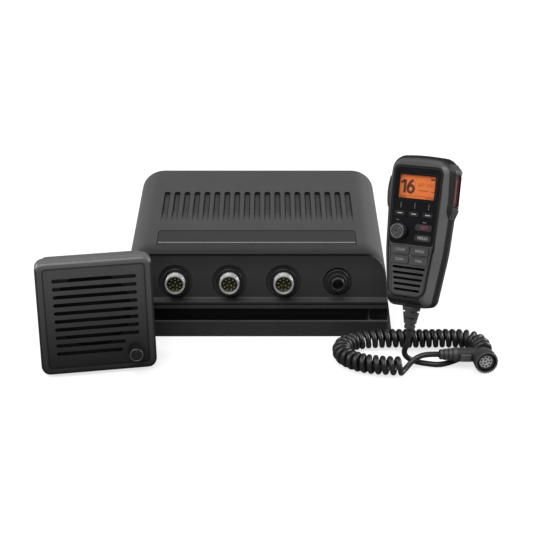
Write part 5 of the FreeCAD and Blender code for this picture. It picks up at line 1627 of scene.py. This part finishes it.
    def screen(self) -> None:
        """Draws the channel number and the small marks on the display."""
        x0, z0 = self.display
        place = self.on_front(x0 - 0.0104, z0 - 0.0002, self.module)
        dark = Ink.SCREEN.value
        self.shop.mould("display_digits", channel_digits, place, dark, "radio", Slot.AMBER)
        for name, x, z, size, ink in (
            ("divider", -0.0026, 0.0022, (0.00022, 0.0164), Ink.FAINT),
            ("battery", 0.0139, 0.0074, (0.0042, 0.0016), Ink.SCREEN),
            ("foot_line", 0.0, -0.0079, (0.0330, 0.00030), Ink.SCREEN),
            ("row_lower", 0.0054, -0.0028, (0.0090, 0.0009), Ink.FAINT),
            ("row_end", 0.0146, -0.0033, (0.0034, 0.0009), Ink.FAINT),
            ("foot_block", -0.0135, -0.0091, (0.0062, 0.0009), Ink.FAINT),
            ("foot_block_right", 0.0125, -0.0091, (0.0072, 0.0009), Ink.FAINT),
        ):
            self.bar(f"display_{name}", x0 + x, z0 + z, size, ink, Slot.AMBER, self.module)
        for text, x in (("INT", 0.0030), ("25W", 0.0118)):
            words = lettering(text, 0.0028, self.on_front(x0 + x, z0 + 0.0018, self.module), 0.01)
            self.shop.put(f"display_{text.lower()}", words, Ink.FAINT.value, "radio", Slot.AMBER)

    def bezel(self) -> None:
        """Frames the display window in gloss black."""
        half = (self.window[0] / 2 - 0.0003, self.window[1] / 2 - 0.0003)
        place = self.on_front(*self.display, self.print_lift)
        self.shop.mould(
            "display_bezel", lambda form: raise_frame(form, *half, 0.0006, 0.0014, 0.00010),
            place, GLOSS_BLACK, "radio", Slot.PANEL,
        )

    def side_at(self, z: float) -> float:
        """The shell's half width at a height.

        Args:
            z: the height, in millimetres.

        Returns:
            The half width, in millimetres.
        """
        for (low, left), (high, right) in zip(self.side_stops, self.side_stops[1:]):
            if z <= high:
                return left + (right - left) * (z - low) / (high - low)
        return self.side_stops[-1][1]

    def fairing(self) -> None:
        """Moulds the low swelling round the distress cover, open at the hinge."""
        across = (-9.8, -8.9, -8.0, -7.2, -6.45, -4.0, 0.0, 3.1, 6.3, 7.2, 8.0, 8.9, 9.8)
        up = (
            78.0, 80.0, 81.5, 83.0, 84.5, 86.0, 87.0, 88.1, 89.9, 97.0,
            104.0, 111.0, 118.1, 119.9, 121.0, 122.5, 124.0, 125.5, 127.0,
        )

        def lift(z: float) -> float:
            """Returns how much of the swelling's height there is at z, from 0 to 1."""
            share = min((z - up[0]) / 10.1, (up[-1] - z) / 7.1, 1.0)
            return share * share * (3.0 - 2.0 * share)

        def surface(y: float, z: float) -> Pair:
            """The swelling's section.

            Args:
                y: how far back, in millimetres.
                z: how far up, in millimetres.

            Returns:
                The x of the swelling's outside and of the shell's own side, in millimetres.
            """
            side = self.side_at(z)
            past = max(abs(y) - 6.3, 0.0)
            own = side - min(past, 1.7) * 1.35 - max(past - 1.7, 0.0) * 0.30
            swell = 1.0 - min(past / 3.5, 1.0) ** 1.3
            sunk = own - 0.2 - min(past / 3.5, 1.0) * 0.9
            rise = self.fairing_crest - side + 0.2 + (side - own) * 0.5
            return sunk + rise * swell * lift(z), own - self.fairing_wall

        def mould(form: Form) -> None:
            """Adds the swelling as a closed shell on a grid, less the cover's opening.

            Args:
                form: the bmesh.
            """
            grid = {}
            for i, y in enumerate(across):
                for j, z in enumerate(up):
                    grid[i, j] = [form.verts.new((x * MM, y * MM, z * MM)) for x in surface(y, z)]
            kept = set()
            for i in range(len(across) - 1):
                for j in range(len(up) - 1):
                    y, z = (across[i] + across[i + 1]) / 2, (up[j] + up[j + 1]) / 2
                    if not ((89.9 < z < 118.1 and y > -6.45) or (88.1 < z < 119.9 and y > 3.1)):
                        kept.add((i, j))
            for i, j in kept:
                ring = ((i, j), (i + 1, j), (i + 1, j + 1), (i, j + 1))
                form.faces.new([grid[key][0] for key in ring])
                form.faces.new([grid[key][1] for key in reversed(ring)])
                beside = ((i, j - 1), (i + 1, j), (i, j + 1), (i - 1, j))
                for k, cell in enumerate(beside):
                    if cell not in kept:
                        a, b = grid[ring[k]], grid[ring[(k + 1) % 4]]
                        form.faces.new((a[1], b[1], b[0], a[0]))
            loose = [vertex for vertex in form.verts if not vertex.link_faces]
            bmesh.ops.delete(form, geom=loose, context="VERTS")

        mesh = draw(mould, HANDSET_PLACE, "distress_fairing")
        mesh.shade_smooth()
        mesh.set_sharp_from_angle(angle=math.radians(32.0))
        self.shop.put("distress_fairing", mesh, HANDSET_BACK, "radio", Slot.SHELL)

    def legends(self) -> None:
        """Prints the keys' words and the marks round them."""
        low, high = self.print_lift, self.key_proud + self.print_lift
        for x in self.soft_keys.values():
            name = f"tick_{int(x * 10000)}".replace("-", "m")
            self.bar(name, x, self.tick_z, (0.00024, 0.0052), Ink.GREY, Slot.PANEL, low)
        for key, x in self.soft_keys.items():
            size = (0.0048, 0.0009)
            self.bar(f"{key}_mark", x, self.soft_key_z, size, Ink.PALE, Slot.KEY, high, key)
        self.bar("priority_mark", 0.0108, 0.0747, (0.0034, 0.0004), Ink.GREY, Slot.PANEL, low)
        self.bar("selector_mark", -0.0155, 0.0752, (0.0030, 0.0003), Ink.GREY, Slot.PANEL, low)
        for mark in KeyMark:
            text, height, ink = mark.value
            place = self.on_front(*self.key_places[mark.name], self.key_proud + 2 * self.print_lift)
            words = lettering(text, height, place, 0.02)
            self.shop.put(f"{mark.name}_legend", words, ink.value, mark.name, Slot.KEY)

    def selector_rings(self) -> None:
        """Raises the concentric rings on the selector's cap, paler as painted highlights."""

        def rings(form: Form) -> None:
            """Adds three closed rings."""
            for radius, half_width in ((0.0018, 0.0003), (0.0036, 0.0003), (0.0058, 0.00045)):
                turn_ring(form, radius, half_width, 0.0002, 56)

        place = self.on_front(-0.012, 0.0652, 0.0058)
        # paler than the cap: painted highlights on the rings
        finish = MouldedPlastic("selector ring plastic", (0.078, 0.078, 0.078), 0.30)
        self.shop.mould("selector_rings", rings, place, finish, "selector_knob", Slot.SHELL)

    def talk_grip(self) -> None:
        """Puts the thumb ribs on the talk key."""
        sizes = {"Count": 6, "Pitch": 0.0034, "Length": 0.0064, "Rib": 0.0006}
        place = HANDSET_PLACE @ Matrix.Translation((-0.0328, 0.0, 0.0905))
        mesh = rib_row_tree(self.shop.finish(TALK_RUBBER)).grow(sizes, place)
        self.shop.put("talk_key_ribs", mesh, TALK_RUBBER, "talk_key", Slot.TALK)

    def build(self) -> None:
        """Makes the whole unit."""
        self.dress()
        self.screen()
        self.bezel()
        self.fairing()
        self.legends()
        self.selector_rings()
        self.talk_grip()
        self.shop.drive_screws(
            "handset", HANDSET_PLACE, self.back, self.screw_spots, self.screw_sizes
        )


# ---------------------------------------------------------------- cord and plug
@dataclass
class CurlyCord:
    """One cord: a tail from the handset, the curly stretch, and a tail to the plug."""

    shop: Workshop
    diameter: float = 0.0050
    turn_radius: float = 0.00625
    turns: int = 35
    points_per_turn: int = 16
    exit_point: Point = (0.13548, -0.16000, 0.03981)
    handset_tail: tuple[Point, ...] = (
        (0.1347, -0.1649, 0.0288),
        (0.1310, -0.1616, 0.0177),
        (0.1341, -0.1571, 0.0086),
        (0.1429, -0.1556, 0.0029),
        (0.1532, -0.1580, 0.0025),
        (0.1636, -0.1604, 0.0025),
        (0.1742, -0.1560, 0.0025),
        (0.1836, -0.1494, 0.0025),
        (0.1918, -0.1446, 0.0028),
        (0.1974, -0.1438, 0.0041),
    )
    coil_route: tuple[Point, ...] = (
        (0.2044, -0.1462, 0.00875),
        (0.2044, -0.1371, 0.00875),
        (0.1999, -0.1292, 0.00875),
        (0.1919, -0.1247, 0.00875),
        (0.1760, -0.1238, 0.00875),
        (0.1520, -0.1246, 0.00875),
        (0.1280, -0.1240, 0.00875),
        (0.1060, -0.1246, 0.00875),
        (0.0876, -0.1284, 0.00875),
        (0.0766, -0.1394, 0.00875),
        (0.0776, -0.1548, 0.00875),
        (0.0914, -0.1664, 0.00875),
        (0.1096, -0.1710, 0.00875),
        (0.1290, -0.1722, 0.00875),
    )
    plug_tail: tuple[Point, ...] = (
        (0.1342, -0.1680, 0.0050),
        (0.1398, -0.1634, 0.0096),
        (0.1470, -0.1612, 0.0130),
        (0.1550, -0.1604, 0.0138),
    )
    boot_end: Point = (0.16349, -0.15923, 0.01298)
    first_phase: float = -1.75
    last_phase: float = 2.75
    pitch_steps: int = 4000
    looseness: float = 0.022
    spline_share: float = 0.985
    pitch_stops: tuple[Pair, ...] = (
        (0.0, 1.00), (0.10, 1.02), (0.30, 0.97), (0.50, 1.05),
        (0.62, 0.95), (0.74, 0.86), (0.86, 0.96), (1.0, 1.16),
    )

    @staticmethod
    def spline(name: str, points: Sequence[Point]) -> bpy.types.Curve:
        """A smooth curve with one open NURBS spline.

        Args:
            name: the curve's name.
            points: its control points.

        Returns:
            The curve.
        """
        curve = bpy.data.curves.new(name, "CURVE")
        curve.dimensions = "3D"
        spline = curve.splines.new("NURBS")
        spline.points.add(len(points) - 1)
        for point, place in zip(spline.points, points):
            point.co = (*place, 1.0)
        spline.order_u = 3
        spline.use_endpoint_u = True
        return curve

    def middle_line(self) -> list[Vector]:
        """Reads the coil's middle line from its NURBS route.

        Returns:
            Points close together along it.
        """
        curve = self.spline("coil_route", self.coil_route)
        curve.resolution_u = 24
        line = plain_mesh(curve)
        points = [vertex.co.copy() for vertex in line.vertices]
        bpy.data.meshes.remove(line)
        return points

    def pitch_at(self, share: float) -> float:
        """The relative distance between turns.

        Args:
            share: how far along the coil, from 0 to 1.

        Returns:
            The distance, with 1 for the usual one.
        """
        for (a, low), (b, high) in zip(self.pitch_stops, self.pitch_stops[1:]):
            if share <= b:
                return low + (high - low) * (share - a) / (b - a)
        return self.pitch_stops[-1][1]

    def helix(self) -> list[Point]:
        """Winds the curly stretch round its middle line.

        Returns:
            The control points of the turns, in travel order.
        """
        line = self.middle_line()
        reach = [0.0]
        for a, b in zip(line, line[1:]):
            reach.append(reach[-1] + (b - a).length)
        steps = self.pitch_steps
        phases = [0.0]
        for i in range(steps):
            phases.append(phases[-1] + 1.0 / self.pitch_at((i + 0.5) / steps))
        sweep = self.last_phase + 2 * math.pi * self.turns - self.first_phase
        count = int(sweep / (2 * math.pi) * self.points_per_turn)
        shake = random.Random(7)
        wobble = [shake.uniform(-1, 1) for _ in range(self.turns + 3)]
        radius = self.turn_radius / (0.5 + 0.5 * math.cos(math.pi / self.points_per_turn) ** 2)
        points = []
        seek = 0
        leg = 1
        for i in range(count + 1):
            goal = phases[-1] * i / count
            while seek < steps - 1 and phases[seek + 1] < goal:
                seek += 1
            part = (goal - phases[seek]) / (phases[seek + 1] - phases[seek])
            distance = min(max((seek + part) / steps, 0.0), 1.0) * reach[-1]
            while leg < len(reach) - 1 and reach[leg] < distance:
                leg += 1
            share = (distance - reach[leg - 1]) / (reach[leg] - reach[leg - 1])
            centre = line[leg - 1].lerp(line[leg], share)
            before, after = line[max(leg - 3, 0)], line[min(leg + 2, len(line) - 1)]
            heading = (after - before).normalized()
            side = heading.cross(Vector((0, 0, 1))).normalized()
            rise = side.cross(heading)
            phase = self.first_phase + sweep * i / count
            turn = i / self.points_per_turn
            index = int(turn)
            loose = wobble[index] + (wobble[index + 1] - wobble[index]) * (turn - index)
            wide = radius * (1.0 + self.looseness * loose)
            spot = centre + rise * (wide * math.cos(phase)) + side * (wide * math.sin(phase))
            spot.z = max(spot.z, self.diameter / 2)
            points.append(tuple(spot))
        return points

    def build(self) -> None:
        """Makes the cord and dresses the plug."""
        route = [self.exit_point, *self.handset_tail, *self.helix(), *self.plug_tail, self.boot_end]
        curve = self.spline("handset_cord", route)
        curve.resolution_u = 3
        curve.bevel_depth = self.diameter / 2
        curve.bevel_resolution = 4
        curve.use_fill_caps = True
        cord = placed("handset_cord", curve)
        rubber = SoftRubber("cord rubber", grey(0.007), 0.38, gloss=0.34)
        curve.materials.append(self.shop.finish(rubber))
        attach(cord, "radio")
        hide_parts("handset_cord_tail", "curly_cord", "plug_cord_tail")
        self.plug()

    def plug(self) -> None:
        """Dresses the right-angle plug and ribs its coupling ring."""
        shop = self.shop
        plastic = MouldedPlastic("plug plastic", grey(0.012), 0.40)
        disc = MouldedPlastic("contact disc", (0.40, 0.40, 0.39), 0.5, cloud=0.05)
        shop.dress(
            (plastic, "plug_body"),
            (MouldedPlastic("coupling plastic", grey(0.024), 0.40), "plug_coupling_ring"),
            (BOOT_RUBBER, "plug_boot"),
            (disc, "plug_contact_disc"),
        )
        sizes = {"Count": 30, "Radius": 0.0101, "Length": 0.0066, "Rib": 0.00045, "Middle": 0.0050}
        place = PLUG_PLACE @ Matrix.Translation((0, -0.0086, 0)) @ FACING_FRONT
        mesh = rib_ring_tree(shop.finish(plastic)).grow(sizes, place)
        shop.put("coupling_ring_ribs", mesh, plastic, "plug_coupling_ring", Slot.PLUG)

        def holes(form: Form) -> None:
            """Adds black discs on the contact holes, as painted shadow in them.

            Args:
                form: the bmesh.
            """
            hole = rounded_outline(0.00082, 0.00082, 0.00081, 4)
            for count, circle in ((9, 0.0043), (3, 0.0018)):
                for i in range(count):
                    angle = 2 * math.pi * i / count
                    at = (circle * math.cos(angle), circle * math.sin(angle))
                    raise_plate(form, hole, 0.0, 0.00004, 0.0, at)

        pad = rounded_outline(0.0048, 0.0034, 0.0012)
        # black discs laid on the contact disc: painted shadow in the holes
        deep = SoftRubber("contact hole", (0.002, 0.002, 0.002), 0.7, gloss=0.05)
        for name, build, at, finish, body in (
            ("contact_holes", holes, (0, -0.01421, 0), deep, "radio"),
            (
                "coupling_lip", lambda form: turn_ring(form, 0.0093, 0.0006, 0.0004, 64),
                (0, -0.0168, 0), WORN_PLASTIC, "plug_coupling_ring",
            ),
            (
                "plug_grip_pad", plate_of(pad, 0.0, 0.0016, 0.0005),
                (-0.0165, -0.0070, 0.0), WORN_PLASTIC, "radio",
            ),
        ):
            shop.mould(name, build, stood(PLUG_PLACE, *at), finish, body, Slot.PLUG)


# ---------------------------------------------------------------- studio
@dataclass
class Studio:
    """The pale floor, the soft light and the camera."""

    shop: Workshop
    camera_at: Point = (0.01064, -1.2373, 0.6711)
    camera_turn: float = 62.09
    lens: float = 94.95
    room: float = 0.36
    sky_power: float = 3.1
    sky_spread: float = 50.0
    sky_from: Point = (-0.30, -0.50, 1.25)

    def light(self, name: str, at: Point, toward: Point, size: float, power: float) -> None:
        """Adds one soft light.

        Args:
            name: its name.
            at: where it hangs.
            toward: what it faces.
            size: the side of its square face.
            power: its power in watts.
        """
        lamp = bpy.data.lights.new(name, "AREA")
        lamp.shape = "SQUARE"
        lamp.size = size
        lamp.energy = power
        holder = placed(name, lamp)
        holder.location = at
        holder.rotation_euler = (Vector(toward) - Vector(at)).to_track_quat("-Z", "Y").to_euler()

    def surroundings(self) -> None:
        """Makes a room that is white to the camera and dimmer as light."""
        draft = FinishDraft(bpy.data.worlds.new("studio"))
        bpy.context.scene.world = draft.owner
        seen = draft.add("ShaderNodeLightPath", output="Is Camera Ray")
        white = (1.0, 1.0, 1.0)
        room, wall = (draft.add("ShaderNodeBackground", white, power) for power in (self.room, 1.0))
        shown = draft.add("ShaderNodeMixShader", seen, room, wall)
        draft.end("ShaderNodeOutputWorld", shown)

    def camera(self) -> None:
        """Sets up the camera."""
        lens = bpy.data.cameras.new("camera")
        lens.lens = self.lens
        lens.sensor_width = 36.0
        lens.clip_end = 100.0
        camera = placed("camera", lens)
        camera.location = self.camera_at
        camera.rotation_euler = (math.radians(self.camera_turn), 0.0, 0.0)
        bpy.context.scene.camera = camera

    def build(self) -> None:
        """Sets up floor, light and camera."""
        bpy.context.scene.view_settings.view_transform = "Standard"
        self.surroundings()
        sky = bpy.data.lights.new("overhead_diffuser", "SUN")
        sky.energy = self.sky_power
        sky.angle = math.radians(self.sky_spread)
        holder = placed("overhead_diffuser", sky)
        holder.rotation_euler = Vector(self.sky_from).to_track_quat("Z", "Y").to_euler()
        self.light("left_softbox", (-1.3, 0.2, 0.55), (0.0, 0.0, 0.05), 0.7, 14.0)
        self.light("right_softbox", (1.3, 0.1, 0.6), (0.1, -0.05, 0.05), 0.7, 26.0)
        sheet = rounded_outline(20, 20, 1)
        floor = draw(plate_of(sheet, -0.012, -0.0002), ROW_FRAME, "floor")
        floor.materials.append(self.shop.finish(StudioFloor("studio white")))
        placed("floor", floor)
        self.camera()


def main() -> None:
    """Builds every unit in order."""
    shop = Workshop(frame["nodes"])
    for kind in (Studio, CurlyCord, Transceiver, Loudspeaker, Handset):
        unit = kind(shop)
        unit.build()
        LOG.info("finished the %s", type(unit).__name__)


if __name__ == "__main__":
    main()
